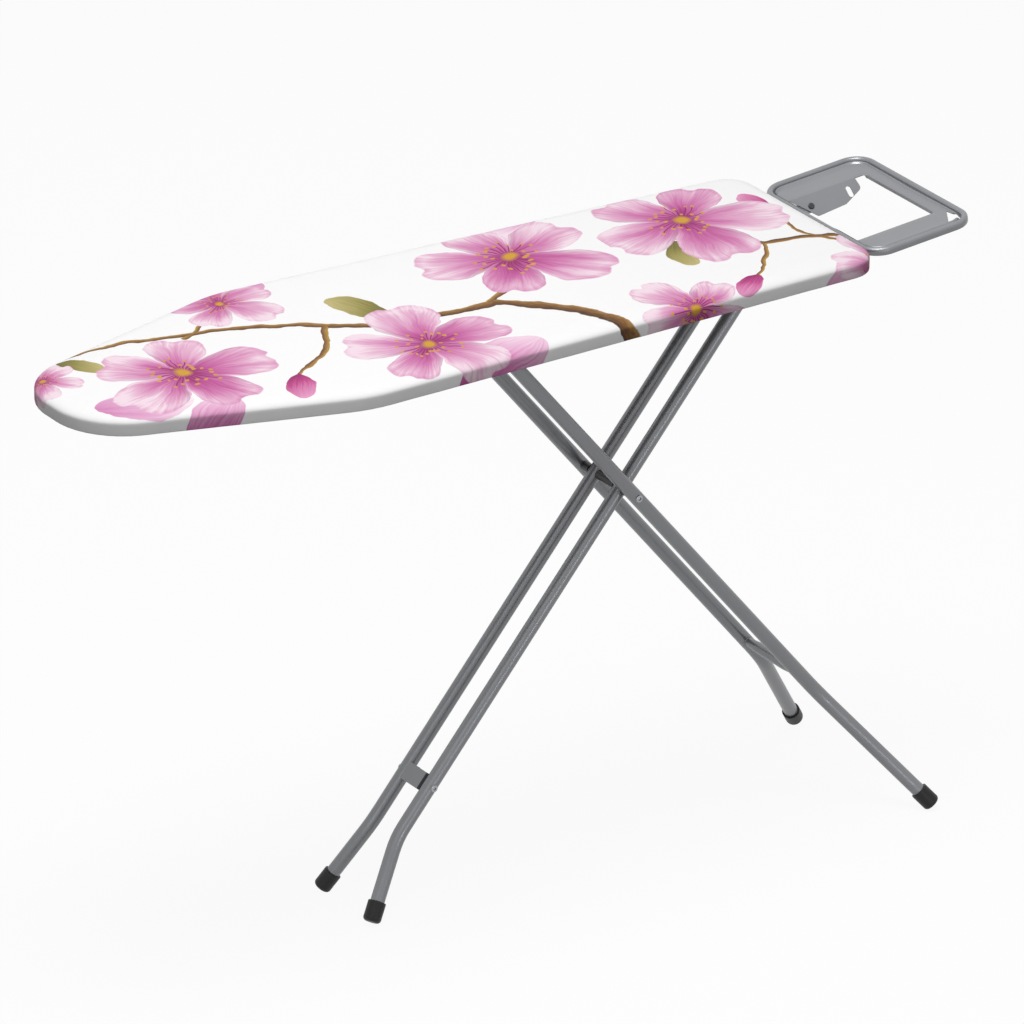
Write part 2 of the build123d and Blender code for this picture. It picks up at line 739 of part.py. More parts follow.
# Screws through the tabs into the arms
with BuildPart() as far_screw:
    with BuildSketch(tab_plane):
        with Locations((screw_from_start, arm_below_fold)):
            Circle(screw_radius)
    extrude(amount=rest_sheet + arm_sheet)
    with BuildSketch(tab_plane):
        with Locations((screw_from_start, arm_below_fold)):
            Circle(screw_head_radius)
    extrude(amount=-screw_head_height)
    fillet(far_screw.edges().filter_by(GeomType.CIRCLE).sort_by(Axis.Z)[-1], screw_head_height / 2)
with BuildPart() as rest_screws:
    add(far_screw.part)
    mirror(far_screw.part, about=Plane.XZ)
finish(rest_screws, "rest_screws")

# End brace: an angle whose web is slotted for the two arms and welded to them
web_x = end_x - arm_web_from_end
arm_corner = tab_plane.from_local_coords(Vector(-arm_inboard, arm_below_fold + arm_width / 2, rest_sheet))
web_bottom = arm_corner.Z - arm_sheet - arm_web_cover
with BuildPart() as end_brace:
    with BuildSketch(Plane.XY.offset(brace_bottom)):
        add(board_outline(inside_inset))
        with Locations((web_x + brace_width / 2, 0)):
            Rectangle(brace_width, board_length, mode=Mode.INTERSECT)
    extrude(amount=brace_thickness)
    with BuildSketch(Plane.XY.offset(web_bottom)):
        with Locations((web_x + bracket_sheet / 2, 0)):
            Rectangle(bracket_sheet, 2 * arm_web_half)
    extrude(amount=brace_bottom - web_bottom)
    add(rest_arm_far.part, mode=Mode.SUBTRACT)
    add(rest_arm_near.part, mode=Mode.SUBTRACT)
finish(end_brace, "end_brace")

# Height lever: a hub on the near rail, a grip arm outwards and, passing under the rail,
# a long blade just below the slide rod, which holds the rod up in a notch until it is pressed
lever_axis_y = -(rail_y + rail_sheet + lever_axis_out)
lever_axis_z = pivot_z + lever_axis_rise
rail_flange_bottom = brace_bottom - rail_sheet
ear_half = lever_width / 2 + body_gap
spring_length = spring_turns * spring_pitch + 2 * spring_end_room
blade_top = pivot_z - rod_radius - body_gap
lever_foot = rail_bottom - body_gap - lever_sheet
lever_drop_y = lever_axis_y + lever_hub_radius
blade_y = outer_spacing / 2 + tube_radius + blade_from_leg
grip_start_y = lever_axis_y - grip_from_axis
grip_end_y = hem_width + grip_hem_gap - half_width(lever_x)
grip_length = grip_start_y - grip_end_y
grip_corner = min(grip_corner_radius, grip_length / 2 - grip_rounding)
lever_reach = lever_axis_y - grip_end_y - grip_overhang


def along(x, y, z):
    # A plane whose normal is +X, with its own x along +Y, for the lever's profiles
    return Plane(origin=(x, y, z), x_dir=(0, 1, 0), z_dir=(1, 0, 0))


with BuildPart() as lever_bracket:
    with BuildSketch(Plane.XY.offset(rail_flange_bottom)):
        with Locations((lever_x, lever_axis_y)):
            Rectangle(2 * (ear_half + bracket_sheet), lever_ear_width)
    extrude(amount=-bracket_sheet)
    for side in (-1, 1):
        with BuildSketch(along(lever_x + side * (ear_half + bracket_sheet / 2), lever_axis_y, lever_axis_z)):
            with Locations((0, (rail_flange_bottom - lever_axis_z) / 2)):
                Rectangle(2 * lever_hub_radius, rail_flange_bottom - lever_axis_z)
            Circle(lever_hub_radius)
            Circle(lever_pin_radius + running_clearance, mode=Mode.SUBTRACT)
        extrude(amount=bracket_sheet / 2, both=True)
finish(lever_bracket, "lever_bracket")

with BuildPart() as lever_pin:
    with BuildSketch(along(lever_x, lever_axis_y, lever_axis_z)):
        Circle(lever_pin_radius)
    extrude(amount=ear_half + bracket_sheet + rivet_head_height, both=True)
    for side in (-1, 1):
        head_x = lever_x + side * (ear_half + bracket_sheet + rivet_head_height / 2)
        with BuildSketch(along(head_x, lever_axis_y, lever_axis_z)):
            Circle(lever_pin_radius + rivet_head_height)
        extrude(amount=rivet_head_height / 2, both=True)
finish(lever_pin, "lever_pin")

with BuildPart() as height_lever:
    with BuildSketch(along(lever_x - lever_width / 2, lever_axis_y, lever_axis_z)):
        Circle(lever_hub_radius)
    extrude(amount=lever_width - spring_length)
    with BuildSketch(along(lever_x - lever_width / 2, lever_axis_y, lever_axis_z)):
        with Locations((-lever_reach / 2, 0)):
            Rectangle(lever_reach, lever_sheet)
    extrude(amount=lever_width - spring_length)
    with BuildSketch(along(lever_x - lever_width / 2, 0, 0)):
        with BuildLine():
            Polyline(
                (lever_drop_y - lever_sheet, lever_axis_z),
                (lever_drop_y - lever_sheet, lever_foot),
                (blade_sheet / 2 - blade_y, lever_foot),
                (blade_sheet / 2 - blade_y, lever_foot + lever_sheet),
                (lever_drop_y, lever_foot + lever_sheet),
                (lever_drop_y, lever_axis_z),
                close=True,
            )
        make_face()
    extrude(amount=lever_width - spring_length)
    with BuildSketch(Plane.XY.offset(lever_foot)):
        with Locations(((slide_x + folded_slide_x) / 2, -blade_y)):
            Rectangle(slot_travel + 2 * slot_radius, blade_sheet)
    extrude(amount=blade_top - lever_foot)
    with BuildSketch(along(lever_x, lever_axis_y, lever_axis_z)):
        Circle(lever_pin_radius + running_clearance)
    extrude(amount=lever_width, both=True, mode=Mode.SUBTRACT)
finish(height_lever, "height_lever")

with BuildPart() as lever_grip:
    with BuildSketch(Plane.XY.offset(lever_axis_z - grip_thickness / 2)):
        with Locations((lever_x - spring_length / 2, (grip_start_y + grip_end_y) / 2)):
            RectangleRounded(grip_width, grip_length, grip_corner)
    extrude(amount=grip_thickness)
    fillet(lever_grip.edges().filter_by(Plane.XY), grip_rounding)
    with BuildSketch(along(lever_x - lever_width / 2 - cap_fit, lever_axis_y, lever_axis_z)):
        with Locations((-lever_reach / 2, 0)):
            Rectangle(lever_reach, lever_sheet + 2 * cap_fit)
    extrude(amount=lever_width - spring_length + 2 * cap_fit, mode=Mode.SUBTRACT)
finish(lever_grip, "lever_grip")

# Torsion spring on the pin, its coil wound in quarter turns
coil_radius = lever_pin_radius + spring_wire + spring_clearance
coil_start_x = lever_x + lever_width / 2 - spring_length + spring_end_room


def coil_point(quarters):
    angle = pi + quarters * pi / 2
    x = coil_start_x + spring_pitch * quarters / 4
    return (x, lever_axis_y + coil_radius * cos(angle), lever_axis_z + coil_radius * sin(angle))


with BuildPart() as lever_spring:
    with BuildLine() as spring_path:
        for quarter in range(4 * spring_turns):
            ThreePointArc(coil_point(quarter), coil_point(quarter + 0.5), coil_point(quarter + 1))
    with BuildSketch(Plane(origin=spring_path.line @ 0, z_dir=spring_path.line % 0)):
        Circle(spring_wire)
    sweep()
finish(lever_spring, "lever_spring")
print("spring gap between turns", round(spring_pitch - 2 * spring_wire, 2))
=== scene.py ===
import math
from functools import partial
from itertools import accumulate
import bpy
import bmesh
from mathutils import Matrix, Vector, noise


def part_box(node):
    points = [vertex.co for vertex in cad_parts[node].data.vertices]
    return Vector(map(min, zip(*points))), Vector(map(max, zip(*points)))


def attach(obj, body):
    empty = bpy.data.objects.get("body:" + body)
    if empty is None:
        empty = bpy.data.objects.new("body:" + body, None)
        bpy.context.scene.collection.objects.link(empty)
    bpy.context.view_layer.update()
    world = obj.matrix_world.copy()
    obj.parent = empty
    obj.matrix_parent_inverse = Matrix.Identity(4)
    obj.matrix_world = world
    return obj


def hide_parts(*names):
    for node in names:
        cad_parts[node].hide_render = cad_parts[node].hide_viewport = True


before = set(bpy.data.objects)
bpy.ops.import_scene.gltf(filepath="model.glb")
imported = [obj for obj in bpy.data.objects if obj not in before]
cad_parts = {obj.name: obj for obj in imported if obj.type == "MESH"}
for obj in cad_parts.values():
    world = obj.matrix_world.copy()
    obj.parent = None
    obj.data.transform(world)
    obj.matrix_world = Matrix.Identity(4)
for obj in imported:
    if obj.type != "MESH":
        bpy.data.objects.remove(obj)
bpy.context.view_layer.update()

print("frame loaded, nodes", len(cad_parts))


def linear(hexColour):
    # sRGB hex to the linear colour that sockets take
    values = [int(hexColour[i:i + 2], 16) / 255 for i in (1, 3, 5)]
    return tuple(v / 12.92 if v <= 0.04045 else ((v + 0.055) / 1.055) ** 2.4 for v in values) + (1.0,)


def addNode(tree, kind, inputs=(), operation=None, stops=(), **settings):
    # A shader node, or a kind named in full; a kind in capitals is the operation of a math node.
    # Inputs by name or in the order of the sockets in use: values, hex colours, sockets, or nodes, which
    # pass on their first output in use; stops are those of a colour ramp
    if kind.isupper():
        kind, operation = "Math", kind
    node = tree.nodes.new(kind if "Node" in kind else "ShaderNode" + kind)
    if operation:
        node.operation = operation
    for name, value in settings.items():
        setattr(node, name, value)
    if not isinstance(inputs, dict):
        inputs = dict(zip((k for k, socket in enumerate(node.inputs) if socket.enabled), inputs))
    for key, value in inputs.items():
        if isinstance(value, bpy.types.Node):
            value = next(output for output in value.outputs if output.enabled)
        if isinstance(value, bpy.types.NodeSocket):
            tree.links.new(value, node.inputs[key])
        else:
            node.inputs[key].default_value = linear(value) if isinstance(value, str) else value
    if stops:
        elements = node.color_ramp.elements
        while len(elements) < len(stops):
            elements.new(0.5)
        for element, (position, colour) in zip(elements, stops):
            element.position = position
            element.color = linear(colour)
    return node


def newMaterial(name, looks):
    # A material whose surface is the node that looks gives, after adding what leads to it
    material = bpy.data.materials.new(name)
    material.use_nodes = True
    material.node_tree.nodes.clear()
    add = partial(addNode, material.node_tree)
    add("OutputMaterial", {"Surface": looks(add)})
    return material


def newObject(name, data):
    holder = bpy.data.objects.new(name, data)
    bpy.context.scene.collection.objects.link(holder)
    return holder


def meshPiece(name, verts, faces, edges=()):
    mesh = bpy.data.meshes.new(name)
    mesh.from_pydata(verts, list(edges), faces)
    mesh.update()
    mesh.shade_smooth()
    return newObject(name, mesh)


def evaluatedMesh(holder):
    # The object's mesh after its modifiers
    bpy.context.view_layer.update()
    return bpy.data.meshes.new_from_object(holder.evaluated_get(bpy.context.evaluated_depsgraph_get()))


def flatten(piece):
    # Turns a piece into a plain mesh and drops its modifiers
    mesh = evaluatedMesh(piece)
    piece.modifiers.clear()
    piece.data = mesh


def thicken(piece, sheet):
    # Gives a skin its wall, inwards from the faces
    wall = piece.modifiers.new("wall", "SOLIDIFY")
    wall.thickness = sheet
    wall.offset = -1.0


def mendMesh(mesh, merge=0.0, openSkin=False, fillHoles=False):
    # Merges doubled points, fills holes if asked, turns faces out, or the top of an open skin up
    work = bmesh.new()
    work.from_mesh(mesh)
    if merge:
        bmesh.ops.remove_doubles(work, verts=work.verts, dist=merge)
    if openSkin:
        bmesh.ops.dissolve_degenerate(work, edges=work.edges, dist=merge)
    if fillHoles:
        bmesh.ops.holes_fill(work, edges=[edge for edge in work.edges if edge.is_boundary])
    bmesh.ops.recalc_face_normals(work, faces=work.faces)
    if openSkin and max(work.faces, key=lambda face: face.calc_center_median().z).normal.z < 0:
        bmesh.ops.reverse_faces(work, faces=work.faces)
    work.to_mesh(mesh)
    work.free()


def gridFaces(columns, rows):
    # Quads over a closed ring of columns with the same number of rows
    faces = []
    for i in range(columns):
        here, ahead = i * rows, (i + 1) % columns * rows
        faces += [(here + k, ahead + k, ahead + k + 1, here + k + 1) for k in range(rows - 1)]
    return faces


def quarterTurn(steps):
    return [math.pi / 2 * k / steps for k in range(steps + 1)]


def runningLength(points):
    # Distance travelled from the first point to each point
    return [0.0, *accumulate(math.dist(a, b) for a, b in zip(points, points[1:]))]


# Silver-grey powder coat baked on steel tube: satin, with faint orange peel and slow changes of tone
paintSettings = {
    "patch": {"mm": 70.0, "Detail": 3.0}, "tones": ("#8a8b8f", "#939497"), "gloss": ("patch", 0.31, 0.37),
    "grain": {"mm": 3.2, "Detail": 2.0}, "bump": (0.35, 0.000004), "surface": {"Metallic": 0.46},
}
# Black polyethylene foot caps from a spark-textured mould: soft sheen with a fine grain
capSettings = {
    "patch": {"mm": 14.0, "Detail": 4.0}, "tones": ("#0f0f10", "#19191a"),
    "grain": {"mm": 0.9, "Detail": 2.0}, "bump": (0.4, 0.00008),
    "surface": {"Roughness": 0.48, "IOR": 1.51, "Specular IOR Level": 0.35},
}
# Bright zinc on turned rods and rivets: silvery, with a slightly clouded plating
zincSettings = {
    "patch": {"mm": 5.0, "Detail": 3.0}, "tones": ("#909296", "#aeb0b3"),
    "grain": {"mm": 0.7}, "gloss": ("grain", 0.24, 0.4), "surface": {"Metallic": 1.0},
}
# Dark ABS of the lever's grip, the spacers and the slide bushes, lightly grained by the mould
gripSettings = {
    "grain": {"mm": 1.2, "Detail": 3.0}, "bump": (0.4, 0.0001), "gloss": ("grain", 0.41, 0.54),
    "surface": {"Base Color": "#2a2b2e", "IOR": 1.53},
}
# Needle-punched felt of mixed waste fibres: pale, flecked and quite matt
feltSettings = {
    "patch": {"mm": 7.0, "Detail": 5.0, "Roughness": 0.7}, "patchRange": (0.5, 0.68),
    "tones": ("#d9d4c8", "#a9a59a"), "grain": {"mm": 1.6, "Detail": 6.0, "Distortion": 1.5},
    "bump": (0.6, 0.0004), "surface": {"Roughness": 0.95, "Sheen Weight": 0.2},
}
# Twisted polyester sewing thread: white with a slight sheen
threadSettings = {"grain": {"mm": 1.0}, "gloss": ("grain", 0.45, 0.7), "surface": {"Base Color": "#f1eff0"}}


def grainedSurface(spec, add):
    # Two tones in patches, a fine grain that raises the surface, and a gloss that follows either
    place = add("TexCoord").outputs["Object"]
    pattern, surface = {}, dict(spec["surface"])
    for part in ("patch", "grain"):
        if part in spec:
            values = dict(spec[part])
            pattern[part] = add("TexNoise", {"Vector": place, "Scale": 1000 / values.pop("mm"), **values})
    if "patchRange" in spec:
        pattern["patch"] = add("MapRange", [pattern["patch"], *spec["patchRange"]])
    if "tones" in spec:
        surface["Base Color"] = add("Mix", [pattern["patch"], *spec["tones"]], data_type="RGBA")
    if "gloss" in spec:
        part, low, high = spec["gloss"]
        surface["Roughness"] = add("MapRange", [pattern[part], 0.0, 1.0, low, high])
    if "bump" in spec:
        strength, depth = spec["bump"]
        surface["Normal"] = add("Bump", {"Height": pattern["grain"], "Strength": strength, "Distance": depth})
    return add("BsdfPrincipled", surface)


# The print: twigs, buds, leaves, loose petals and open five-petalled blossoms, laid out for this board
printSettings = {
    "ground": "#fbfafa", "warpMm": 75.0, "warp": 0.015, "away": 9.0,
    # twig: start, stop, bow, half widths at both ends, how young
    "twigs": [
        ((-0.74, 0.115), (-0.475, 0.098), 0.012, 0.0035, 0.005, 0.2),
        ((-0.475, 0.098), (-0.255, 0.015), 0.02, 0.0052, 0.0075, 0.1),
        ((-0.255, 0.015), (-0.02, -0.035), -0.016, 0.0078, 0.0095, 0.0),
        ((-0.02, -0.035), (0.115, -0.26), 0.022, 0.0098, 0.014, -0.05),
        ((-0.26, 0.016), (-0.37, -0.1), 0.014, 0.005, 0.0035, 0.22),
        ((-0.03, -0.032), (0.085, 0.072), -0.014, 0.006, 0.004, 0.16),
        ((0.62, -0.155), (0.4, -0.06), -0.016, 0.0085, 0.0065, 0.02),
        ((0.4, -0.06), (0.245, 0.045), -0.012, 0.0062, 0.004, 0.14),
        ((0.4, -0.062), (0.33, -0.145), 0.01, 0.004, 0.0026, 0.26),
        ((-0.44, 0.085), (-0.36, 0.165), -0.01, 0.0036, 0.0024, 0.24),
        ((0.49, -0.1), (0.475, 0.03), 0.018, 0.0042, 0.0028, 0.22),
    ],
    "bark": [(0.12, "#4e3524"), (0.5, "#7d5833"), (0.85, "#a67f4c"), (1.0, "#b5923f")],
    "knotMm": 26.0, "gnarl": (0.25, 0.75, 0.72, 1.28), "barkGrain": (3.0, 60.0, 1.0), "barkLean": 0.42,
    "twigEdge": (0.9, 1.06),
    # drop: start, turn in degrees, length, half width, seed, palette
    "drops": [
        ((-0.37, -0.1), 238, 0.078, 0.62, 3.1, 3), ((-0.36, 0.165), 62, 0.07, 0.55, 5.7, 3),
        ((0.33, -0.145), 214, 0.062, 0.6, 8.3, 3), ((0.475, 0.03), 96, 0.074, 0.58, 2.2, 3),
        ((-0.16, 0.0), 118, 0.105, 0.52, 6.4, 2), ((0.3, 0.012), 250, 0.085, 0.5, 1.9, 2),
        ((-0.62, 0.108), 300, 0.07, 0.48, 4.5, 2), ((-0.66, -0.055), 342, 0.13, 0.72, 7.7, 1),
        ((-0.245, 0.205), 196, 0.12, 0.75, 9.1, 1), ((0.2, 0.225), 205, 0.14, 0.7, 3.9, 1),
        ((-0.18, -0.225), 22, 0.15, 0.66, 5.2, 0), ((0.42, -0.235), 38, 0.13, 0.72, 6.6, 1),
        ((-0.575, -0.185), 38, 0.11, 0.68, 2.8, 0), ((0.055, 0.175), 330, 0.085, 0.66, 4.1, 1),
    ],
    # palette of a drop: deep, middle and pale, for deep petals, pale petals, leaves and buds
    "palettes": [
        ("#b94a90", "#d985bb", "#f5d7e8"), ("#d68abb", "#ecbcd9", "#fbeef5"),
        ("#6f6a35", "#9a9152", "#c2b67c"), ("#9c2f6d", "#c4508f", "#e59cc4"),
    ],
    "dropSwell": 0.66, "dropClose": 0.5, "dropLeast": 0.02, "dropVeins": (11.0, 1.4, 1.0), "dropLean": 0.16,
    "dropMottle": 0.8, "dropTones": ((0.4, 0.9), (0.85, 1.4)), "dropEdge": (-0.004, 0.01),
    # blossom: centre, turn in degrees, radius, seed, how faded
    "blossoms": [
        ((-0.335, 0.16), 12, 0.088, 4.0, 0.1), ((0.205, -0.19), 40, 0.1, 9.0, 0.1),
        ((-0.5, -0.015), 66, 0.13, 1.0, 0.0), ((0.08, 0.085), 25, 0.146, 2.0, 0.02),
        ((-0.175, -0.11), 8, 0.128, 6.0, 0.05), ((0.35, 0.068), 51, 0.142, 3.0, -0.02),
        ((-0.67, 0.06), 30, 0.062, 8.0, 0.08), ((0.52, -0.19), 15, 0.1, 7.0, 0.08),
    ],
    "flesh": [(0.0, "#a53c7c"), (0.2, "#bf5898"), (0.48, "#d27eb0"), (0.8, "#e7b4d0"), (1.0, "#f6dfea")],
    "petals": 5, "petalSeed": 7.31, "petalLength": (0.82, 1.08), "petalSpread": 1.92, "petalRound": 3.4,
    "petalNarrow": -0.62, "petalNotch": (0.0, 0.11, 0.93, 1.0), "petalEdge": (0.985, 1.01),
    "petalVeins": (34.0, 1.6, 1.0), "veinDepth": 0.62, "petalBlush": (4.5, 1.3, 1.0), "blushDepth": 0.75,
    "petalRim": (0.9, 1.0, 0.78, 1.02), "petalTone": (-0.1, 0.26), "petalLap": (0.26, 0.5, 1.0, 0.84),
    "stamen": "#8d2f63", "stamens": 27, "stamenEnd": (0.14, 0.4), "stamenEdge": (0.022, 0.032),
    "stamenTip": (-0.01, 0.0), "anther": "#d3a13c", "antherWidth": 0.23, "antherEdge": (0.017, 0.024),
    "heartEdge": (0.05, 0.11), "weaveMm": 1.6, "weaveDepth": 0.00012, "weave": 0.22, "slubMm": 9.0,
    "slub": 1.2, "roughness": (0.78, 0.92), "sheen": 0.08, "specular": 0.25,
}


def pickGroup(name, inputs, kept):
    # An empty node group of the print; a V marks a vector, and what is kept goes in and comes out
    group = bpy.data.node_groups.new(name, "ShaderNodeTree")
    for label in inputs + kept:
        kind = "Vector" if label[0] == "V" else "Float"
        group.interface.new_socket(label.lstrip("V"), in_out="INPUT", socket_type="NodeSocket" + kind)
    for label in kept:
        group.interface.new_socket(label, in_out="OUTPUT", socket_type="NodeSocketFloat")
    return group, partial(addNode, group), addNode(group, "NodeGroupInput").outputs


def keepWhere(add, better, given, **found):
    # Hands on what was found where it is the better pick, and else what was given
    add("NodeGroupOutput", {
        label: add("Mix", [better, given[label], value], data_type="FLOAT")
        for label, value in found.items()})


def twigPick():
    # Distance to one bowed, tapered twig, kept where it is the nearest so far
    labels = ["VPlace", "VStart", "VStop", "Bow", "Thick", "Thin", "Young", "Gnarl"]
    group, add, given = pickGroup("twigPick", labels, ["Ratio", "Lane", "Run", "Tone"])
    fromStart = add("VectorMath", [given["Place"], given["Start"]], "SUBTRACT")
    axis = add("VectorMath", [given["Stop"], given["Start"]], "SUBTRACT")
    size = add("VectorMath", [axis], "LENGTH")
    unit = add("VectorMath", [axis], "NORMALIZE")
    run = add("VectorMath", [fromStart, unit], "DOT_PRODUCT")
    off = add("SeparateXYZ", [add("VectorMath", [unit, fromStart], "CROSS_PRODUCT")]).outputs["Z"]
    share = add("DIVIDE", [run, size], use_clamp=True)
    hump = add("MULTIPLY", [share, add("SUBTRACT", [1.0, share])])
    bow = add("MULTIPLY", [hump, given["Bow"]])
    line = add("MULTIPLY_ADD", [bow, -4.0, off])  # the hump is a quarter high
    past = add("SUBTRACT", [run, add("MULTIPLY", [share, size])])
    away = add("VectorMath", [add("CombineXYZ", [line, past])], "LENGTH")
    taper = add("MapRange", [share, 0.0, 1.0, given["Thick"], given["Thin"]])
    half = add("MULTIPLY", [taper, given["Gnarl"]])
    ratio = add("DIVIDE", [away, half])
    lane = add("DIVIDE", [line, half])
    nearer = add("LESS_THAN", [ratio, given["Ratio"]])
    keepWhere(add, nearer, given, Ratio=ratio, Lane=lane, Run=run, Tone=given["Young"])
    return group


def dropPick():
    # Depth of a point in one drop-shaped petal, bud or leaf, kept where it is the deepest so far
    spec = printSettings
    labels = ["VPlace", "VStart", "VAlong", "VAcross", "Width", "Seed", "Palette"]
    group, add, given = pickGroup("dropPick", labels, ["Room", "Share", "Fan", "Key", "Kind"])
    offset = add("VectorMath", [given["Place"], given["Start"]], "SUBTRACT")
    along = add("VectorMath", [offset, given["Along"]], "DOT_PRODUCT")
    across = add("VectorMath", [offset, given["Across"]], "DOT_PRODUCT")
    share = add("Clamp", [along])
    past = add("ABSOLUTE", [add("SUBTRACT", [along, share])])
    swell = add("POWER", [share, spec["dropSwell"]])
    close = add("POWER", [add("SUBTRACT", [1.0, share]), spec["dropClose"]])
    half = add("MULTIPLY", [add("MULTIPLY", [swell, close]), given["Width"]])
    spare = add("SUBTRACT", [half, add("ABSOLUTE", [across])])
    room = add("SUBTRACT", [spare, past])
    fan = add("DIVIDE", [across, add("MAXIMUM", [half, spec["dropLeast"]])])
    deeper = add("GREATER_THAN", [room, given["Room"]])
    keepWhere(add, deeper, given, Room=room, Share=share, Fan=fan, Key=given["Seed"], Kind=given["Palette"])
    return group


def blossomPick():
    # Place in one blossom in units of its radius, kept where its middle is the nearest so far
    labels = ["VPlace", "VCentre", "VAlong", "VAcross", "Seed", "Fade"]
    group, add, given = pickGroup("blossomPick", labels, ["Reach", "X", "Y", "Key", "Pale"])
    offset = add("VectorMath", [given["Place"], given["Centre"]], "SUBTRACT")
    x = add("VectorMath", [offset, given["Along"]], "DOT_PRODUCT")
    y = add("VectorMath", [offset, given["Across"]], "DOT_PRODUCT")
    reach = add("VectorMath", [add("CombineXYZ", [x, y])], "LENGTH")
    nearer = add("LESS_THAN", [reach, given["Reach"]])
    keepWhere(add, nearer, given, Reach=reach, X=x, Y=y, Key=given["Seed"], Pale=given["Fade"])
    return group


def pickAll(add, group, motifs, shared, held):
    # Runs a pick group over all motifs of its kind and gives what covers each point
    for values in motifs:
        motif = add("Group", {**shared, **values, **held}, node_tree=group)
        held = {label: motif.outputs[label] for label in held}
    return held


def turnedAxes(degrees, size):
    # Unit axes of a turned motif, shortened so that its size becomes 1
    turn = math.radians(degrees)
    cosine, sine = math.cos(turn) / size, math.sin(turn) / size
    return {"Along": (cosine, sine, 0.0), "Across": (-sine, cosine, 0.0)}


def printTwigs(add, uv, place):
    # Brown twigs with gnarled edges and a grain along their length, on the white ground
    spec = printSettings
    knots = add("TexNoise", {"Vector": uv, "Scale": 1000 / spec["knotMm"], "Detail": 2.0})
    gnarl = add("MapRange", [knots, *spec["gnarl"]])
    motifs = [
        {"Start": start + (0.0,), "Stop": stop + (0.0,), "Bow": bow, "Thick": thick, "Thin": thin,
         "Young": young}
        for start, stop, bow, thick, thin, young in spec["twigs"]]
    nothing = {"Ratio": spec["away"], "Lane": 0.0, "Run": 0.0, "Tone": 0.0}
    twig = pickAll(add, twigPick(), motifs, {"Place": place, "Gnarl": gnarl}, nothing)
    lanes = add("CombineXYZ", [twig["Lane"], twig["Run"]])
    grained = add("VectorMath", [lanes, spec["barkGrain"]], "MULTIPLY")
    grain = add("TexNoise", {"Vector": grained, "Scale": 1.0, "Detail": 4.0, "Roughness": 0.65})
    lean = add("MULTIPLY_ADD", [twig["Lane"], spec["barkLean"], grain])
    bark = add("ValToRGB", [add("ADD", [lean, twig["Tone"]])], stops=spec["bark"])
    mask = add("MapRange", [twig["Ratio"], *spec["twigEdge"], 1.0, 0.0])
    return add("Mix", [mask, spec["ground"], bark], data_type="RGBA")


def printDrops(add, place, laid):
    # Loose petals, buds and leaves over the twigs, veined along their length
    spec = printSettings
    motifs = [
        {"Start": spot + (0.0,), "Width": width, "Seed": seed, "Palette": float(kind),
         **turnedAxes(turn, size)}
        for spot, turn, size, width, seed, kind in spec["drops"]]
    nothing = {"Room": -spec["away"], "Share": 0.0, "Fan": 0.0, "Key": 0.0, "Kind": 0.0}
    drop = pickAll(add, dropPick(), motifs, {"Place": place}, nothing)
    lanes = add("CombineXYZ", [drop["Fan"], drop["Share"], drop["Key"]])
    fine = add("VectorMath", [lanes, spec["dropVeins"]], "MULTIPLY")
    veins = add("TexNoise", {"Vector": fine, "Scale": 1.0, "Detail": 3.0, "Roughness": 0.6})
    lean = add("MULTIPLY_ADD", [drop["Fan"], spec["dropLean"], drop["Share"]])
    mottled = add("MULTIPLY_ADD", [veins, spec["dropMottle"], lean])
    shades = []
    for tones in zip(*spec["palettes"]):
        shade = tones[0]
        for kind, tone in enumerate(tones[1:], 1):
            match = add("GREATER_THAN", [drop["Kind"], kind - 0.5])
            shade = add("Mix", [match, shade, tone], data_type="RGBA")
        shades.append(shade)
    colour = shades[0]
    for shade, toneRange in zip(shades[1:], spec["dropTones"]):
        paler = add("MapRange", [mottled, *toneRange])
        colour = add("Mix", [paler, colour, shade], data_type="RGBA")
    mask = add("MapRange", [drop["Room"], *spec["dropEdge"]], interpolation_type="SMOOTHSTEP")
    return add("Mix", [mask, laid, colour], data_type="RGBA")


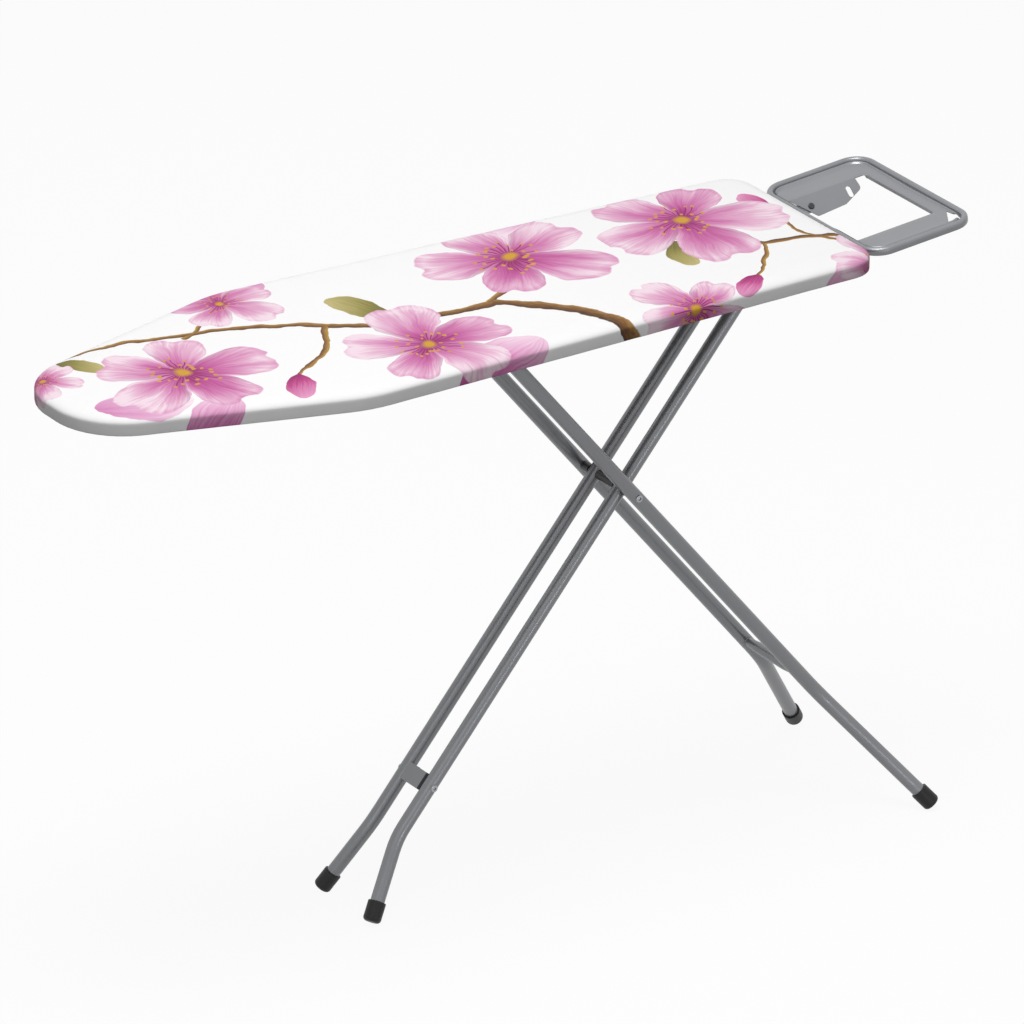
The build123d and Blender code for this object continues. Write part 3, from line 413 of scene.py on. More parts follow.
def printBlossoms(add, place, laid):
    # Open blossoms over all else: petals by angle, each with its own length, notch, blush and veins
    spec = printSettings
    motifs = [
        {"Centre": centre + (0.0,), "Seed": seed, "Fade": fade, **turnedAxes(turn, radius)}
        for centre, turn, radius, seed, fade in spec["blossoms"]]
    nothing = {"Reach": spec["away"], "X": spec["away"], "Y": spec["away"], "Key": 0.0, "Pale": 0.0}
    bloom = pickAll(add, blossomPick(), motifs, {"Place": place}, nothing)
    reach = bloom["Reach"]
    angle = add("ARCTAN2", [bloom["Y"], bloom["X"]])

    # outline of the petals
    fifths = add("MULTIPLY", [angle, spec["petals"] / math.tau])
    petal = add("ROUND", [fifths])
    along = add("SUBTRACT", [fifths, petal])
    whole = add("FLOORED_MODULO", [petal, float(spec["petals"])])
    key = add("MULTIPLY_ADD", [bloom["Key"], spec["petalSeed"], whole])
    chance = add("TexWhiteNoise", {"W": key}, noise_dimensions="1D").outputs
    length = add("MapRange", [chance["Value"], 0.0, 1.0, *spec["petalLength"]])
    side = add("ABSOLUTE", [along])
    curve = add("POWER", [add("MULTIPLY", [side, spec["petalSpread"]]), spec["petalRound"]])
    narrow = add("MULTIPLY_ADD", [curve, spec["petalNarrow"], 1.0])
    notch = add("MapRange", [side, *spec["petalNotch"]], interpolation_type="SMOOTHSTEP")
    edge = add("MULTIPLY", [add("MULTIPLY", [narrow, notch]), length])
    share = add("DIVIDE", [reach, edge])
    mask = add("MapRange", [share, *spec["petalEdge"], 1.0, 0.0], interpolation_type="SMOOTHSTEP")

    # tone of the petals
    lanes = add("CombineXYZ", [along, reach, key])
    fine = add("VectorMath", [lanes, spec["petalVeins"]], "MULTIPLY")
    veins = add("TexNoise", {"Vector": fine, "Scale": 1.0, "Detail": 3.0, "Roughness": 0.6})
    broad = add("VectorMath", [lanes, spec["petalBlush"]], "MULTIPLY")
    blush = add("TexNoise", {"Vector": broad, "Scale": 1.0, "Detail": 2.0})
    depth = add("MULTIPLY_ADD", [blush, spec["blushDepth"], share])
    lines = add("MULTIPLY_ADD", [veins, spec["veinDepth"], depth])
    centred = add("SUBTRACT", [lines, add("MapRange", [share, *spec["petalRim"]])])
    own = add("MapRange", [chance["Color"], 0.0, 1.0, *spec["petalTone"]])
    faded = add("ADD", [centred, add("ADD", [own, bloom["Pale"]])])
    flesh = add("ValToRGB", [faded], stops=spec["flesh"])
    lap = add("MapRange", [along, *spec["petalLap"]], interpolation_type="SMOOTHSTEP")
    petals = add("HueSaturation", {"Color": flesh, "Value": lap})

    # stamens with golden tips round a golden heart
    rays = add("MULTIPLY", [angle, spec["stamens"] / math.tau])
    ray = add("ROUND", [rays])
    across = add("MULTIPLY", [add("SUBTRACT", [rays, ray]), reach])
    rayChance = add("TexWhiteNoise", {"W": add("ADD", [ray, bloom["Key"]])}, noise_dimensions="1D")
    rayEnd = add("MapRange", [rayChance, 0.0, 1.0, *spec["stamenEnd"]])
    toTip = add("SUBTRACT", [reach, rayEnd])
    line = add("MapRange", [add("ABSOLUTE", [across]), *spec["stamenEdge"], 1.0, 0.0])
    before = add("MapRange", [toTip, *spec["stamenTip"], 1.0, 0.0])
    tipAcross = add("MULTIPLY", [across, spec["antherWidth"]])
    tipReach = add("VectorMath", [add("CombineXYZ", [tipAcross, toTip])], "LENGTH")
    tips = add("MapRange", [tipReach, *spec["antherEdge"], 1.0, 0.0])
    heart = add("MapRange", [reach, *spec["heartEdge"], 1.0, 0.0])
    withRays = add("Mix", [add("MULTIPLY", [line, before]), petals, spec["stamen"]], data_type="RGBA")
    withTips = add("Mix", [add("MAXIMUM", [tips, heart]), withRays, spec["anther"]], data_type="RGBA")
    return add("Mix", [mask, laid, withTips], data_type="RGBA")


def printedCotton(add):
    # Plain-woven cotton with a reactive print: quite matt, its 0.5 mm weave drawn coarser so that it shows
    spec = printSettings
    uv = add("UVMap", uv_map="printMap")
    wobble = add("TexNoise", {"Vector": uv, "Scale": 1000 / spec["warpMm"], "Detail": 3.0}).outputs["Color"]
    drift = add("VectorMath", [wobble, (0.5, 0.5, 0.5)], "SUBTRACT")
    warped = add("VectorMath", [drift, (2 * spec["warp"],) * 3, uv], "MULTIPLY_ADD")
    place = add("VectorMath", [warped, (1.0, 1.0, 0.0)], "MULTIPLY")
    laid = printBlossoms(add, place, printDrops(add, place, printTwigs(add, uv, place)))
    scaled = add("VectorMath", [uv, 1000 / spec["weaveMm"] * math.tau], "SCALE")
    axes = add("SeparateXYZ", [scaled]).outputs
    cross = add("MULTIPLY", [add("SINE", [axes["X"]]), add("SINE", [axes["Y"]])])
    slub = add("TexNoise", {"Vector": uv, "Scale": 1000 / spec["slubMm"], "Detail": 3.0})
    cloth = add("MULTIPLY_ADD", [slub, spec["slub"], cross])
    bump = add("Bump", {"Height": cloth, "Strength": spec["weave"], "Distance": spec["weaveDepth"]})
    nap = add("MapRange", [slub, 0.0, 1.0, *spec["roughness"]])
    return add("BsdfPrincipled", {
        "Base Color": laid, "Roughness": nap, "Normal": bump, "Sheen Weight": spec["sheen"],
        "Specular IOR Level": spec["specular"]})


# Plan of the board over the cover, in metres, with the sizes of the CAD part
planSettings = {
    "noseWidth": 0.182, "noseRadius": 0.106, "shoulderFromNose": 0.37, "shoulderWidth": 0.409,
    "shoulderRadius": 0.2, "endWidth": 0.352, "endRadius": 0.044, "arcStep": 0.006, "leastArcSteps": 4,
    "sideStep": 0.012, "middleFromNose": 0.12, "middleFromEnd": 0.17, "merge": 0.00005,
}
coverLow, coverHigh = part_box("fabric_cover")


def roundedPlan(corners, arcSteps, sideSteps):
    # Points round a convex plan, counterclockwise, with outward normals
    arcs = []
    for i, (corner, radius) in enumerate(corners):
        here = Vector(corner)
        back = (Vector(corners[i - 1][0]) - here).normalized()
        ahead = (Vector(corners[(i + 1) % len(corners)][0]) - here).normalized()
        half = math.acos(max(-1, min(1, back.dot(ahead)))) / 2
        centre = here + (back + ahead).normalized() * radius / math.sin(half)
        first = here + back * radius / math.tan(half) - centre
        start = math.atan2(first.y, first.x)
        turn = math.pi - 2 * half
        count = arcSteps(turn * radius)
        angles = [start + turn * k / count for k in range(count + 1)]
        normals = [Vector((math.cos(a), math.sin(a))) for a in angles]
        arcs.append([(centre + normal * radius, normal) for normal in normals])
    points = []
    for i, arc in enumerate(arcs):
        points += arc
        start, normal = arc[-1]
        stop = arcs[(i + 1) % len(arcs)][0][0]
        runs = sideSteps((stop - start).length)
        points += [(start.lerp(stop, k / runs), normal) for k in range(1, runs)]
    return points


def boardPlan():
    # The board's plan over the cover, from the near corner of the nose
    spec = planSettings
    stations = [
        (coverLow.x, spec["noseWidth"] / 2, spec["noseRadius"]),
        (coverLow.x + spec["shoulderFromNose"], spec["shoulderWidth"] / 2, spec["shoulderRadius"]),
        (coverHigh.x, spec["endWidth"] / 2, spec["endRadius"]),
    ]
    corners = [((x, -half), radius) for x, half, radius in stations]
    corners += [((x, half), radius) for x, half, radius in reversed(stations)]
    return roundedPlan(
        corners, lambda arc: max(spec["leastArcSteps"], round(arc / spec["arcStep"])),
        lambda run: max(1, round(run / spec["sideStep"])))


outline = boardPlan()
lengths = runningLength([point for point, normal in outline])
around = lengths[-1] + math.dist(outline[-1][0], outline[0][0])
print("plan points", len(outline), "round the edge", round(around, 3))


def shell(name, profile, move, insetTop, topZ, topRings):
    # A skin over the plan: rows of inset, height and run from below to the top edge, then flat to the middle
    spec = planSettings
    verts, places, faces = [], [], []
    middleFrom, middleTo = coverLow.x + spec["middleFromNose"], coverHigh.x - spec["middleFromEnd"]
    for (point, normal), travelled in zip(outline, lengths):
        edge = point - normal * insetTop
        for inset, height, run in profile:
            push, lift = move(travelled, inset, height)
            spot = point - normal * (inset + push)
            verts.append((spot.x, spot.y, height + lift))
            places.append(edge + normal * run)
        middle = Vector((min(max(edge.x, middleFrom), middleTo), 0.0))
        for k in range(1, topRings + 1):
            spot = edge.lerp(middle, k / topRings)
            verts.append((spot.x, spot.y, topZ))
            places.append(spot)
    piece = meshPiece(name, verts, gridFaces(len(outline), len(profile) + topRings))
    layer = piece.data.uv_layers.new(name="printMap")
    for loop in piece.data.loops:
        layer.data[loop.index].uv = places[loop.vertex_index]
    mendMesh(piece.data, merge=spec["merge"], openSkin=True)
    return piece


# Cover: cotton pulled over the pad and drawn in below by the elastic in its hem
coverSettings = {
    "sheet": 0.0009, "topWidth": 0.024, "topDrop": 0.01, "lowRadius": 0.0018, "sideRows": (0.34, 0.5),
    "topRings": 14, "arcSteps": 10, "hem": 0.0293, "casing": 0.0095, "clear": 0.0003, "beside": 0.004,
    "under": 0.007,
    # inner edge of the casing: out from the hem and up; its belly: share of its width and up
    "casingEdge": ((-0.0012, 0.0034), (-0.0002, 0.0024), (0.0, 0.0012), (-0.0014, -0.0004)),
    "casingBelly": ((0.5, -0.0012), (0.85, -0.0003), (1.0, 0.0004)),
    "gather": 0.0016, "gatherPitch": 0.015, "sideGather": 0.0005, "sideFade": 0.018, "uneven": 3.0,
    "unevenTurns": 9.0, "unevenSeed": 3.1, "tight": (0.6, 0.4), "tightTurns": 4.0, "tightSeed": 8.2,
}


def coverProfile():
    # Rows from the casing's edge below the board, out, round the lower edge, up the side and over the top
    spec = coverSettings
    hem, casing, lowRadius = spec["hem"], spec["casing"], spec["lowRadius"]
    low, high = coverLow.z + spec["clear"], coverHigh.z
    rows = [(hem + out, low + up) for out, up in spec["casingEdge"]]
    rows += [(hem - casing * share, low + up) for share, up in spec["casingBelly"]]
    rows += [(hem - casing - spec["beside"], low), (lowRadius + spec["under"], low)]
    turns = quarterTurn(spec["arcSteps"])
    rows += [(lowRadius * (1 - math.sin(a)), low + lowRadius * (1 - math.cos(a))) for a in turns]
    rows += [(0.0, low + (high - low) * share) for share in spec["sideRows"]]
    width, drop = spec["topWidth"], spec["topDrop"]
    rows += [(width * (1 - math.cos(a)), high - drop * (1 - math.sin(a))) for a in turns]
    runs = runningLength(rows[::-1])[::-1]
    return [row + (run,) for row, run in zip(rows, runs)]


def coverGather(travelled, inset, height):
    # Small gathers that the elastic draws in the hem, fading out up the side of the board
    spec = coverSettings
    turn = travelled / around * math.tau

    def drift(turns, seed):
        return noise.noise(Vector((math.cos(turn) * turns, math.sin(turn) * turns, seed)))

    waves = round(around / spec["gatherPitch"])
    phase = turn * waves + spec["uneven"] * drift(spec["unevenTurns"], spec["unevenSeed"])
    mean, swing = spec["tight"]
    draw = (0.5 + 0.5 * math.sin(phase)) * (mean + swing * drift(spec["tightTurns"], spec["tightSeed"]))
    under = (inset - spec["lowRadius"]) / (spec["hem"] - spec["lowRadius"] - spec["casing"])
    side = max(0.0, 1 - (height - coverLow.z) / spec["sideFade"]) if inset < spec["lowRadius"] else 0.0
    return spec["sideGather"] * side * draw, -spec["gather"] * min(1.0, max(0.0, under)) * draw


cover = shell("printed_cover", coverProfile(), coverGather, coverSettings["topWidth"], coverHigh.z,
              coverSettings["topRings"])
thicken(cover, coverSettings["sheet"])
flatten(cover)
cover.data.materials.append(newMaterial("printed_cotton", printedCotton))
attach(cover, "board")
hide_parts("fabric_cover")
print("cover faces", len(cover.data.polygons))

# Pad: felt cut to the plan, rounded at its top edge by the pull of the cover
padSettings = {
    "inset": 0.0012, "topWidth": 0.0225, "topDrop": 0.0072, "topRings": 12, "arcSteps": 8, "fill": 0.9,
    "clear": 0.0003, "underRows": (0.06, 0.03), "lowEdge": ((0.001, 0.0), (0.0001, 0.0003)),
}
padLow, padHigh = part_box("felt_pad")
padTop = padHigh.z - padSettings["clear"]


def padProfile():
    # Rows from the underside out, round the lower edge and over the top edge
    spec = padSettings
    rows = [(inset, padLow.z, 0.0) for inset in spec["underRows"]]
    rows += [(spec["inset"] + out, padLow.z + up, 0.0) for out, up in spec["lowEdge"]]
    for a in quarterTurn(spec["arcSteps"]):
        inset = spec["inset"] + spec["topWidth"] * (1 - math.cos(a))
        rows.append((inset, padTop - spec["topDrop"] * (1 - math.sin(a)), 0.0))
    return rows


pad = shell("felt_padding", padProfile(), lambda travelled, inset, height: (0.0, 0.0),
            padSettings["inset"] + padSettings["topWidth"], padTop, padSettings["topRings"])
mendMesh(pad.data, fillHoles=True)
pad.data.materials.append(newMaterial("needled_felt", partial(grainedSurface, feltSettings)))
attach(pad, "board")
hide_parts("felt_pad")
print("pad faces", len(pad.data.polygons))

# Finishes of the CAD nodes; what isn't named is painted
paint = newMaterial("silver_powder_coat", partial(grainedSurface, paintSettings))
zinc = newMaterial("zinc_plated_steel", partial(grainedSurface, zincSettings))
darkAbs = newMaterial("moulded_abs", partial(grainedSurface, gripSettings))
blackCap = newMaterial("moulded_polyethylene", partial(grainedSurface, capSettings))
thread = newMaterial("polyester_thread", partial(grainedSurface, threadSettings))
finishes = {
    blackCap: ("inner_foot_far", "inner_foot_near", "outer_foot_far", "outer_foot_near"),
    zinc: ("crossing_pin", "crossbar_rivets", "pivot_rod", "slide_rod", "lever_pin", "lever_spring",
           "height_lever", "lever_bracket"),
    darkAbs: ("rest_screws", "lever_grip", "slide_bush_far", "slide_bush_near", "inner_sleeve",
              "crossing_sleeve_far", "crossing_sleeve_near"),
}
finishOf = {name: finish for finish, names in finishes.items() for name in names}
for name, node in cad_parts.items():
    node.data.materials.clear()
    node.data.materials.append(finishOf.get(name, paint))
print("finishes set")


def beadTree(name, seed):
    # Geometry Nodes: small lumps along paths, long for stitches and round for welds
    tree = bpy.data.node_groups.new(name, "GeometryNodeTree")
    add = partial(addNode, tree)
    for label in ("Geometry", "Pitch", "Length", "Radius", "Spread", "Material"):
        kind = label if label in ("Geometry", "Material") else "Float"
        tree.interface.new_socket(label, in_out="INPUT", socket_type="NodeSocket" + kind)
    tree.interface.new_socket("Geometry", in_out="OUTPUT", socket_type="NodeSocketGeometry")
    given = add("NodeGroupInput").outputs
    path = add("GeometryNodeMeshToCurve", {"Mesh": given["Geometry"]})
    along = add("GeometryNodeCurveToPoints", {"Curve": path, "Length": given["Pitch"]}, mode="LENGTH").outputs
    lump = add("GeometryNodeMeshUVSphere", {"Segments": 8, "Rings": 5, "Radius": 1.0})
    shape = add("CombineXYZ", [given["Length"], given["Radius"], given["Radius"]])
    sized = add("GeometryNodeTransform", {"Geometry": lump, "Scale": shape})
    heading = add("FunctionNodeAlignRotationToVector", {"Vector": along["Tangent"]}, axis="X")
    least = add("SUBTRACT", [1.0, given["Spread"]])
    most = add("ADD", [1.0, given["Spread"]])
    vary = add("FunctionNodeRandomValue", {"Min": least, "Max": most, "Seed": seed}, data_type="FLOAT")
    laid = add("GeometryNodeInstanceOnPoints", {
        "Points": along["Points"], "Instance": sized, "Rotation": heading, "Scale": vary})
    real = add("GeometryNodeRealizeInstances", {"Geometry": laid})
    rounded = add("GeometryNodeSetShadeSmooth", {"Geometry": real})
    coloured = add("GeometryNodeSetMaterial", {"Geometry": rounded, "Material": given["Material"]})
    add("NodeGroupOutput", {"Geometry": coloured})
    return tree


def beadPiece(name, paths, tree, body, slot, **values):
    # Lumps along the given paths, made a plain mesh that rides on its body
    verts, edges = [], []
    for path, closed in paths:
        first = len(verts)
        verts += [tuple(point) for point in path]
        edges += [(k, k + 1) for k in range(first, len(verts) - 1)]
        if closed:
            edges.append((len(verts) - 1, first))
    piece = meshPiece(name, verts, [], edges)
    modifier = piece.modifiers.new("beads", "NODES")
    modifier.node_group = tree
    for item in tree.interface.items_tree:
        if item.in_out == "INPUT" and item.name in values:
            modifier[item.identifier] = values[item.name]
    flatten(piece)
    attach(piece, body)
    print(name, "faces", len(piece.data.polygons))
    return piece


# Iron rest: one pressing with a rolled rim, a ridge, a turned-down inner edge and two sloping tabs
restSettings = {
    "length": 0.174, "width": 0.28, "radius": 0.034, "gap": 0.009, "drop": 0.015, "tilt": 5.7,
    "sheet": 0.0012, "cornerSteps": 14, "sideSteps": 26, "sharpDegrees": 50,
    "skirt": 0.011, "skirtEdge": ((0.0012, 0.0003), (0.0004, 0.0005), (0.0, 0.0013)), "skirtShare": 0.62,
    "roll": 0.0047, "rollSteps": 6, "groove": 0.0064, "grooveGap": 0.0006, "ledge": 0.005, "ledgeSteps": 4,
    "ridge": 0.0034, "ridgeWidth": 0.01, "ridgeShare": 0.6, "ridgeRun": (0.002, 0.014), "ridgeSteps": 10,
    "lip": 0.005, "lipEdge": 0.0015, "lipBend": ((0.0007, 0.0002), (0.0012, 0.0007), (0.0014, 0.0014)),
    "lipLeast": 0.1, "lipFacing": (0.3, 0.9),
    "frontBar": 0.0105, "shelf": 0.031, "flange": 0.057, "windowRadius": 0.006,
    "cornerGap": ((0.07, -0.09), (0.0745, -0.121), (0.052, -0.121)), "gapLevels": (-0.02, 0.01),
    "tabStart": 0.01, "tabSheet": 0.0015, "tabLean": 45, "tabArcStep": 0.0012, "tabMerge": 0.00001,
    # corners of a tab with their radii, along the fold and down from it; its slot and its screw hole
    "tab": (((0.005, 0.0), 0.0005), ((0.114, 0.0), 0.0005), ((0.116, 0.017), 0.007), ((0.084, 0.031), 0.006),
            ((0.036, 0.034), 0.005)),
    "slot": (0.097, 0.016, 0.004, 0.0045), "hole": (0.032, 0.017, 0.0026), "holeSteps": 24,
}
restTilt = math.radians(restSettings["tilt"])
restAlong = Vector((math.cos(restTilt), 0.0, math.sin(restTilt)))
restUp = Vector((-math.sin(restTilt), 0.0, math.cos(restTilt)))
restFront = coverHigh.x + restSettings["gap"] + restSettings["skirt"] * math.sin(restTilt)
restMiddle = Vector((restFront, 0.0, coverHigh.z - restSettings["drop"]))
restMiddle += restAlong * restSettings["length"] / 2


def restPoint(u, v, w):
    # From the rest's own tilted plane to the object's frame
    return restMiddle + restAlong * u + Vector((0.0, v, 0.0)) + restUp * w


def restLoop(front, end, half, radius):
    spec = restSettings
    corners = [((x, y), radius) for x, y in ((end, -half), (end, half), (front, half), (front, -half))]
    return roundedPlan(corners, lambda arc: spec["cornerSteps"], lambda run: spec["sideSteps"])


def smooth(value, low, high):
    share = min(1.0, max(0.0, (value - low) / (high - low)))
    return share * share * (3 - 2 * share)


def restRows(rim, window):
    # One section of the pressing, from the skirt's lower edge over the rim and the ridge to the inner edge
    spec = restSettings
    (point, normal), (edge, outwards) = rim, window
    roll, skirt, ledge = spec["roll"], spec["skirt"], spec["ledge"]
    section = [(inset, up - skirt) for inset, up in spec["skirtEdge"]] + [(0.0, -skirt * spec["skirtShare"])]
    turns = quarterTurn(spec["rollSteps"])
    section += [(roll * (1 - math.cos(a)), roll * (math.sin(a) - 1)) for a in turns]
    section += [(roll * (1 + math.sin(a)), roll * (math.cos(a) - 1)) for a in turns[1:]]
    rows = [(point - normal * inset, level) for inset, level in section]
    groove = point - normal * (2 * roll + spec["grooveGap"])
    run = (edge - groove).length
    width = min(spec["ridgeWidth"], spec["ridgeShare"] * run)
    ridgeEnd = groove + (edge - groove) / run * width
    bump = spec["ridge"] * smooth(run, *spec["ridgeRun"])
    for k in range(spec["ridgeSteps"] + 1):
        share = k / spec["ridgeSteps"]
        level = -spec["groove"] + (spec["groove"] - ledge) * share + bump * math.sin(math.pi * share) ** 2
        rows.append((groove.lerp(ridgeEnd, share), level))
    rows += [(ridgeEnd.lerp(edge, k / spec["ledgeSteps"]), -ledge) for k in range(1, spec["ledgeSteps"] + 1)]
    turned = spec["lipLeast"] + (1 - spec["lipLeast"]) * smooth(abs(outwards.x), *spec["lipFacing"])
    for step, down in spec["lipBend"] + ((spec["lipEdge"], spec["lip"]),):
        rows.append((edge - outwards * step * turned, -ledge - down * turned))
    return [restPoint(spot.x, spot.y, level) for spot, level in rows]


def flatPlate(loops, thickness, place):
    # A sheet cut to an outline with holes, laid by a function of its own coordinates
    curve = bpy.data.curves.new("plate", "CURVE")
    curve.dimensions = "2D"
    curve.fill_mode = "BOTH"
    curve.extrude = thickness / 2
    for loop in loops:
        spline = curve.splines.new("POLY")
        spline.points.add(len(loop) - 1)
        spline.use_cyclic_u = True
        for point, (x, y) in zip(spline.points, loop):
            point.co = (x, y, 0.0, 1.0)
    holder = newObject("plate", curve)
    mesh = evaluatedMesh(holder)
    bpy.data.objects.remove(holder)
    for vertex in mesh.vertices:
        vertex.co = place(vertex.co.x, vertex.co.y, vertex.co.z + thickness / 2)
    return mesh


def holePoints(x, y, radius, stretch=0.0):
    # A round hole, or a slot where stretch moves its two halves apart
    points = []
    for k in range(restSettings["holeSteps"]):
        turn = math.tau * k / restSettings["holeSteps"]
        rise = radius * math.sin(turn)
        points.append((x + radius * math.cos(turn), y + rise + (stretch if math.sin(turn) > 0 else -stretch)))
    return points


def tabMesh(side):
    # One tab, folded down and inwards from the window's edge
    spec = restSettings
    fold = spec["width"] / 2 - spec["flange"]
    start = spec["tabStart"] - spec["length"] / 2
    lean = math.sin(math.radians(spec["tabLean"]))

    def place(along, down, depth):
        across = fold + (depth - down) * lean
        return restPoint(start + along, side * across, -spec["ledge"] - (down + depth) * lean)

    plan = roundedPlan(spec["tab"], lambda arc: max(2, round(arc / spec["tabArcStep"])), lambda run: 1)
    loops = [[point for point, normal in plan], holePoints(*spec["slot"]), holePoints(*spec["hole"])]
    mesh = flatPlate(loops, spec["tabSheet"], place)
    mendMesh(mesh, merge=spec["tabMerge"])
    return mesh


def ironRest():
    spec = restSettings
    end, side = spec["length"] / 2, spec["width"] / 2
    rim = restLoop(-end, end, side, spec["radius"])
    front, back = spec["frontBar"] - end, end - spec["shelf"]
    window = restLoop(front, back, side - spec["flange"], spec["windowRadius"])
    sections = [restRows(*ends) for ends in zip(rim, window)]
    verts = [spot for section in sections for spot in section]
    piece = meshPiece("pressed_rest", verts, gridFaces(len(sections), len(sections[0])))
    thicken(piece, spec["sheet"])
    gap = [restPoint(u, v, level) for level in spec["gapLevels"] for u, v in spec["cornerGap"]]
    cutter = meshPiece("corner_gap", gap, [(0, 1, 2), (5, 4, 3), (0, 3, 4, 1), (1, 4, 5, 2), (2, 5, 3, 0)])
    mendMesh(cutter.data)
    cut = piece.modifiers.new("gap", "BOOLEAN")
    cut.object = cutter
    cut.operation = "DIFFERENCE"
    flatten(piece)
    bpy.data.objects.remove(cutter)
    joined = bmesh.new()
    for mesh in (piece.data, tabMesh(1), tabMesh(-1)):
        joined.from_mesh(mesh)
    joined.to_mesh(piece.data)
    joined.free()
    piece.data.shade_smooth()
    piece.data.set_sharp_from_angle(angle=math.radians(spec["sharpDegrees"]))
    piece.data.materials.clear()
    piece.data.materials.append(paint)
    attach(piece, "board")
    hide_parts("iron_rest")
    print("rest faces", len(piece.data.polygons))


ironRest()

# Hem seam: one row of stitches along the casing
stitchSettings = {
    "seed": 4, "rise": 0.0006, "inset": coverSettings["hem"] - coverSettings["casing"],
    "beads": {"Pitch": 0.0042, "Length": 0.0015, "Radius": 0.00035, "Spread": 0.08},
}
seamPath = []
for (point, normal), travelled in zip(outline, lengths):
    lift = coverGather(travelled, stitchSettings["inset"], coverLow.z)[1]
    spot = point - normal * stitchSettings["inset"]
    seamPath.append((spot.x, spot.y, coverLow.z + stitchSettings["rise"] + lift))
stitchTree = beadTree("hemStitchTree", stitchSettings["seed"])
stitches = beadPiece("hem_stitches", [(seamPath, True)], stitchTree, "board", "cover_fabric", Material=thread,
                     **stitchSettings["beads"])

# Weld beads: braces on the frame, rails and brackets on the braces, the outer crossbar on its tubes
weldSettings = {
    "seed": 9, "beads": {"Pitch": 0.0016, "Length": 0.0015, "Spread": 0.14}, "frameRadius": 0.0019,
    "barRadius": 0.0014, "braceMargin": 0.005, "endBraceMargin": 0.022, "railMargin": 0.006,
    "railRun": 0.024, "bracketMargin": 0.004, "sink": 0.0003,
    # where the crossbar meets an outer leg: the bead's ring, and the leg's middle, radius, run and drop
    "ringRadius": 0.006, "ringSteps": 40, "legMiddle": 0.067, "legRadius": 0.0102, "legRun": 0.234,
    "legDrop": 0.2822,
}


def frameWelds():
    # Straight beads beside each brace's ends and along the tops of rails and brackets
    spec = weldSettings
    sideLength = coverHigh.x - coverLow.x - planSettings["shoulderFromNose"]
    taper = (planSettings["shoulderWidth"] - planSettings["endWidth"]) / 2 / sideLength
    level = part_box("rear_brace")[0].z
    paths = []
    for name in ("front_brace", "middle_brace", "rear_brace", "end_brace"):
        low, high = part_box(name)
        margin = spec["endBraceMargin"] if name == "end_brace" else spec["braceMargin"]
        ends = (low.x + spec["braceMargin"], high.x - margin)
        paths += [[(x, side * (high.y - taper * (x - low.x)), level) for x in ends] for side in (-1, 1)]
    for name in ("rack_rail_far", "rack_rail_near", "pivot_bracket_far", "pivot_bracket_near"):
        low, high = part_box(name)
        outer = high.y if name.endswith("far") else low.y
        runs = [(low.x + spec["bracketMargin"], high.x - spec["bracketMargin"])]
        if name.startswith("rack"):
            first, last = low.x + spec["railMargin"], high.x - spec["railMargin"]
            runs = [(first, first + spec["railRun"]), (last - spec["railRun"], last)]
        paths += [[(x, outer, high.z - spec["sink"]) for x in run] for run in runs]
    return [(path, False) for path in paths]


def crossbarWelds():
    # A ring at each end of the bar, bent to the round of the leg that it meets
    spec = weldSettings
    low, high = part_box("outer_crossbar")
    centre = (low + high) / 2
    legDown = Vector((spec["legRun"], spec["legDrop"])).normalized()
    rings = []
    for side in (-1, 1):
        ring = []
        for k in range(spec["ringSteps"]):
            turn = math.tau * k / spec["ringSteps"]
            dx, dz = spec["ringRadius"] * math.cos(turn), spec["ringRadius"] * math.sin(turn)
            off = dx * legDown.y + dz * legDown.x
            inwards = math.sqrt(spec["legRadius"] ** 2 - off ** 2)
            ring.append((centre.x + dx, side * (spec["legMiddle"] - inwards), centre.z + dz))
        rings.append((ring, True))
    return rings


weldTree = beadTree("weldRippleTree", weldSettings["seed"])
beadPiece("frame_welds", frameWelds(), weldTree, "board", "painted_steel", Radius=weldSettings["frameRadius"],
          Material=paint, **weldSettings["beads"])
beadPiece("crossbar_welds", crossbarWelds(), weldTree, "outer_legs", "painted_steel",
          Radius=weldSettings["barRadius"], Material=paint, **weldSettings["beads"])

# Rivet cores: the closed floor of each hollow rivet, a little below its head
coreSettings = {"depth": 0.0013, "length": 0.0007, "crossing_pin": 0.0025, "crossbar_rivets": 0.0021}
for name, body in (("crossing_pin", "outer_legs"), ("crossbar_rivets", "inner_legs")):
    low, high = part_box(name)
    middle = (low + high) / 2
    reach = high.y - coreSettings["depth"]
    path = [(middle.x, y, middle.z) for y in (-reach, reach)]
    beadPiece(name + "_cores", [(path, False)], weldTree, body, "bare_steel", Pitch=2 * reach, Spread=0.0,
              Length=coreSettings["length"], Radius=coreSettings[name], Material=zinc)

# Studio: white paper floor, a soft lamp above, a weak fill on the left and a small lamp in front for gloss
studioSettings = {
    "floorColour": "#fdfdfd", "bounceColour": "#6a6a6a", "whiteShare": 0.93, "sky": 0.22, "floorReach": 200.0,
    "floorLevel": -0.0005, "aim": (0.0, 0.0, 0.6),
    # lamp: watts, size, place
    "lamps": {
        "key": (150.0, 2.2, (-0.5, -0.5, 5.0)), "fill": (22.0, 2.5, (-4.6, -3.2, 2.4)),
        "strip": (18.0, 1.0, (0.35, -5.0, 0.35)),
    },
}


def seenRays(add):
    # One for what the camera and the gloss see, nought for rays that bounce diffusely
    rays = add("LightPath").outputs
    direct = add("MAXIMUM", [rays["Is Camera Ray"], rays["Is Glossy Ray"]])
    return add("MAXIMUM", [direct, rays["Is Transmission Ray"]])


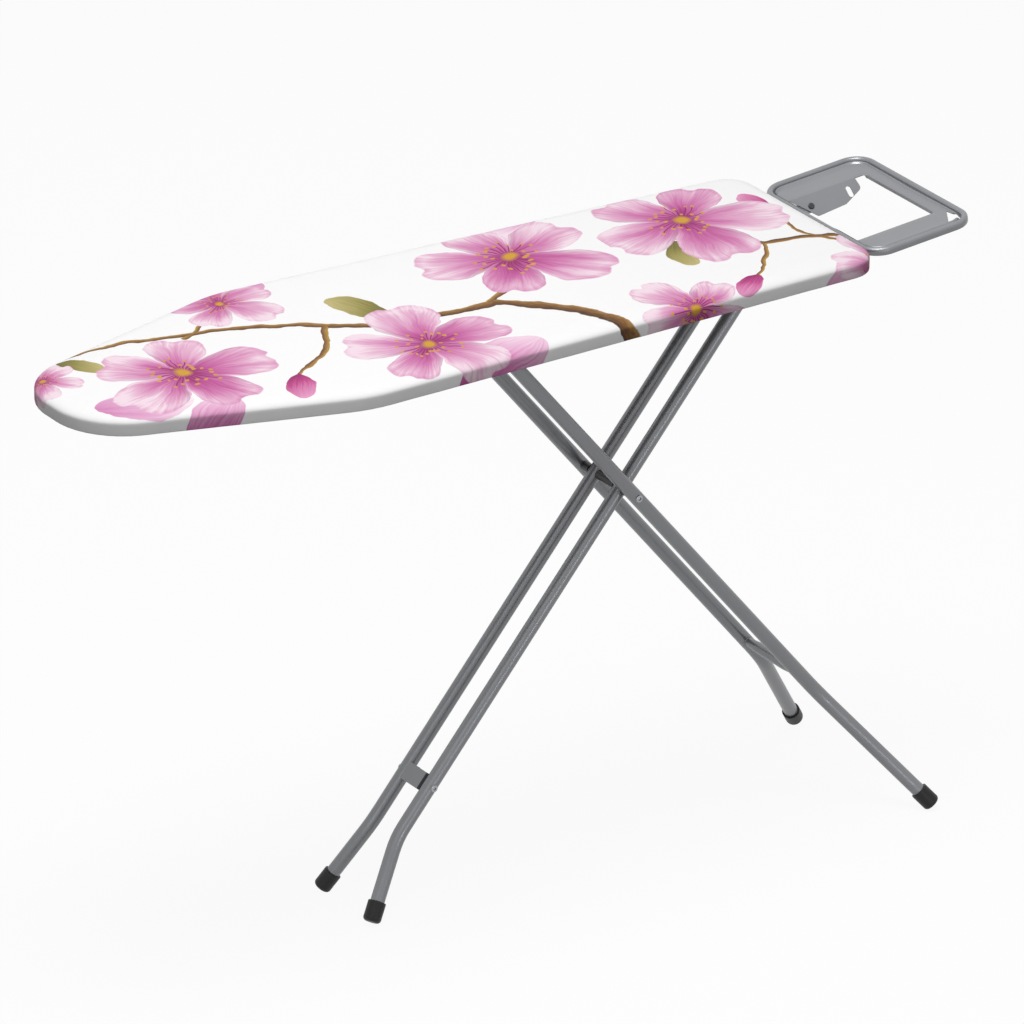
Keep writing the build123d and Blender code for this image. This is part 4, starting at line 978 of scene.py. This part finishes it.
def whitePaper(add):
    # Matt white paper: it looks evenly lit and keeps its shadows, but throws back less light than it shows
    bounce = add("BsdfDiffuse", {"Color": studioSettings["bounceColour"]})
    shaded = add("BsdfDiffuse", {"Color": studioSettings["floorColour"]})
    white = add("Emission", {"Color": (1.0, 1.0, 1.0, 1.0), "Strength": 1.0})
    seen = add("MixShader", [studioSettings["whiteShare"], shaded, white])
    return add("MixShader", [seenRays(add), bounce, seen])


world = bpy.data.worlds.new("studio")
bpy.context.scene.world = world
world.use_nodes = True
world.node_tree.nodes.clear()
addSky = partial(addNode, world.node_tree)
skyLevel = addSky("MapRange", [seenRays(addSky), 0.0, 1.0, studioSettings["sky"], 1.0])
sky = addSky("Background", {"Color": (1.0, 1.0, 1.0, 1.0), "Strength": skyLevel})
addSky("OutputWorld", {"Surface": sky})
reach, level = studioSettings["floorReach"], studioSettings["floorLevel"]
corners = [(x * reach, y * reach, level) for x, y in ((-1, -1), (1, -1), (1, 1), (-1, 1))]
floor = meshPiece("studio_floor", corners, [(0, 1, 2, 3)])
floor.data.materials.append(newMaterial("white_paper", whitePaper))
for name, (watts, size, place) in studioSettings["lamps"].items():
    light = bpy.data.lights.new(name, "AREA")
    light.shape = "SQUARE"
    light.size = size
    light.energy = watts
    lamp = newObject(name, light)
    lamp.location = place
    lamp.rotation_euler = (Vector(studioSettings["aim"]) - lamp.location).to_track_quat("-Z", "Y").to_euler()
print("studio lit")

# Camera: a long lens, looking down on the near side from the nose half
cameraSettings = {
    "azimuth": -33.197, "elevation": 23.805, "roll": 0.231, "distance": 16.283,
    "target": (0.0317, 0.002, 0.5257), "focalPixels": 12000.0, "framePixels": 1024, "sensorMm": 36.0,
    "clipEnd": 400.0,
}
azimuth, elevation, roll = (math.radians(cameraSettings[k]) for k in ("azimuth", "elevation", "roll"))
outwards = math.cos(elevation)
back = Vector((math.sin(azimuth) * outwards, -math.cos(azimuth) * outwards, math.sin(elevation)))
right = Vector((math.cos(azimuth), math.sin(azimuth), 0.0))
up = back.cross(right)
right, up = right * math.cos(roll) + up * math.sin(roll), up * math.cos(roll) - right * math.sin(roll)
lens = bpy.data.cameras.new("product_camera")
lens.sensor_width = cameraSettings["sensorMm"]
lens.lens = cameraSettings["focalPixels"] / cameraSettings["framePixels"] * lens.sensor_width
lens.clip_end = cameraSettings["clipEnd"]
camera = newObject("product_camera", lens)
camera.matrix_world = Matrix((right, up, back)).transposed().to_4x4()
camera.location = Vector(cameraSettings["target"]) + back * cameraSettings["distance"]
bpy.context.scene.camera = camera
bpy.context.scene.view_settings.view_transform = "Standard"

print("scene ready")
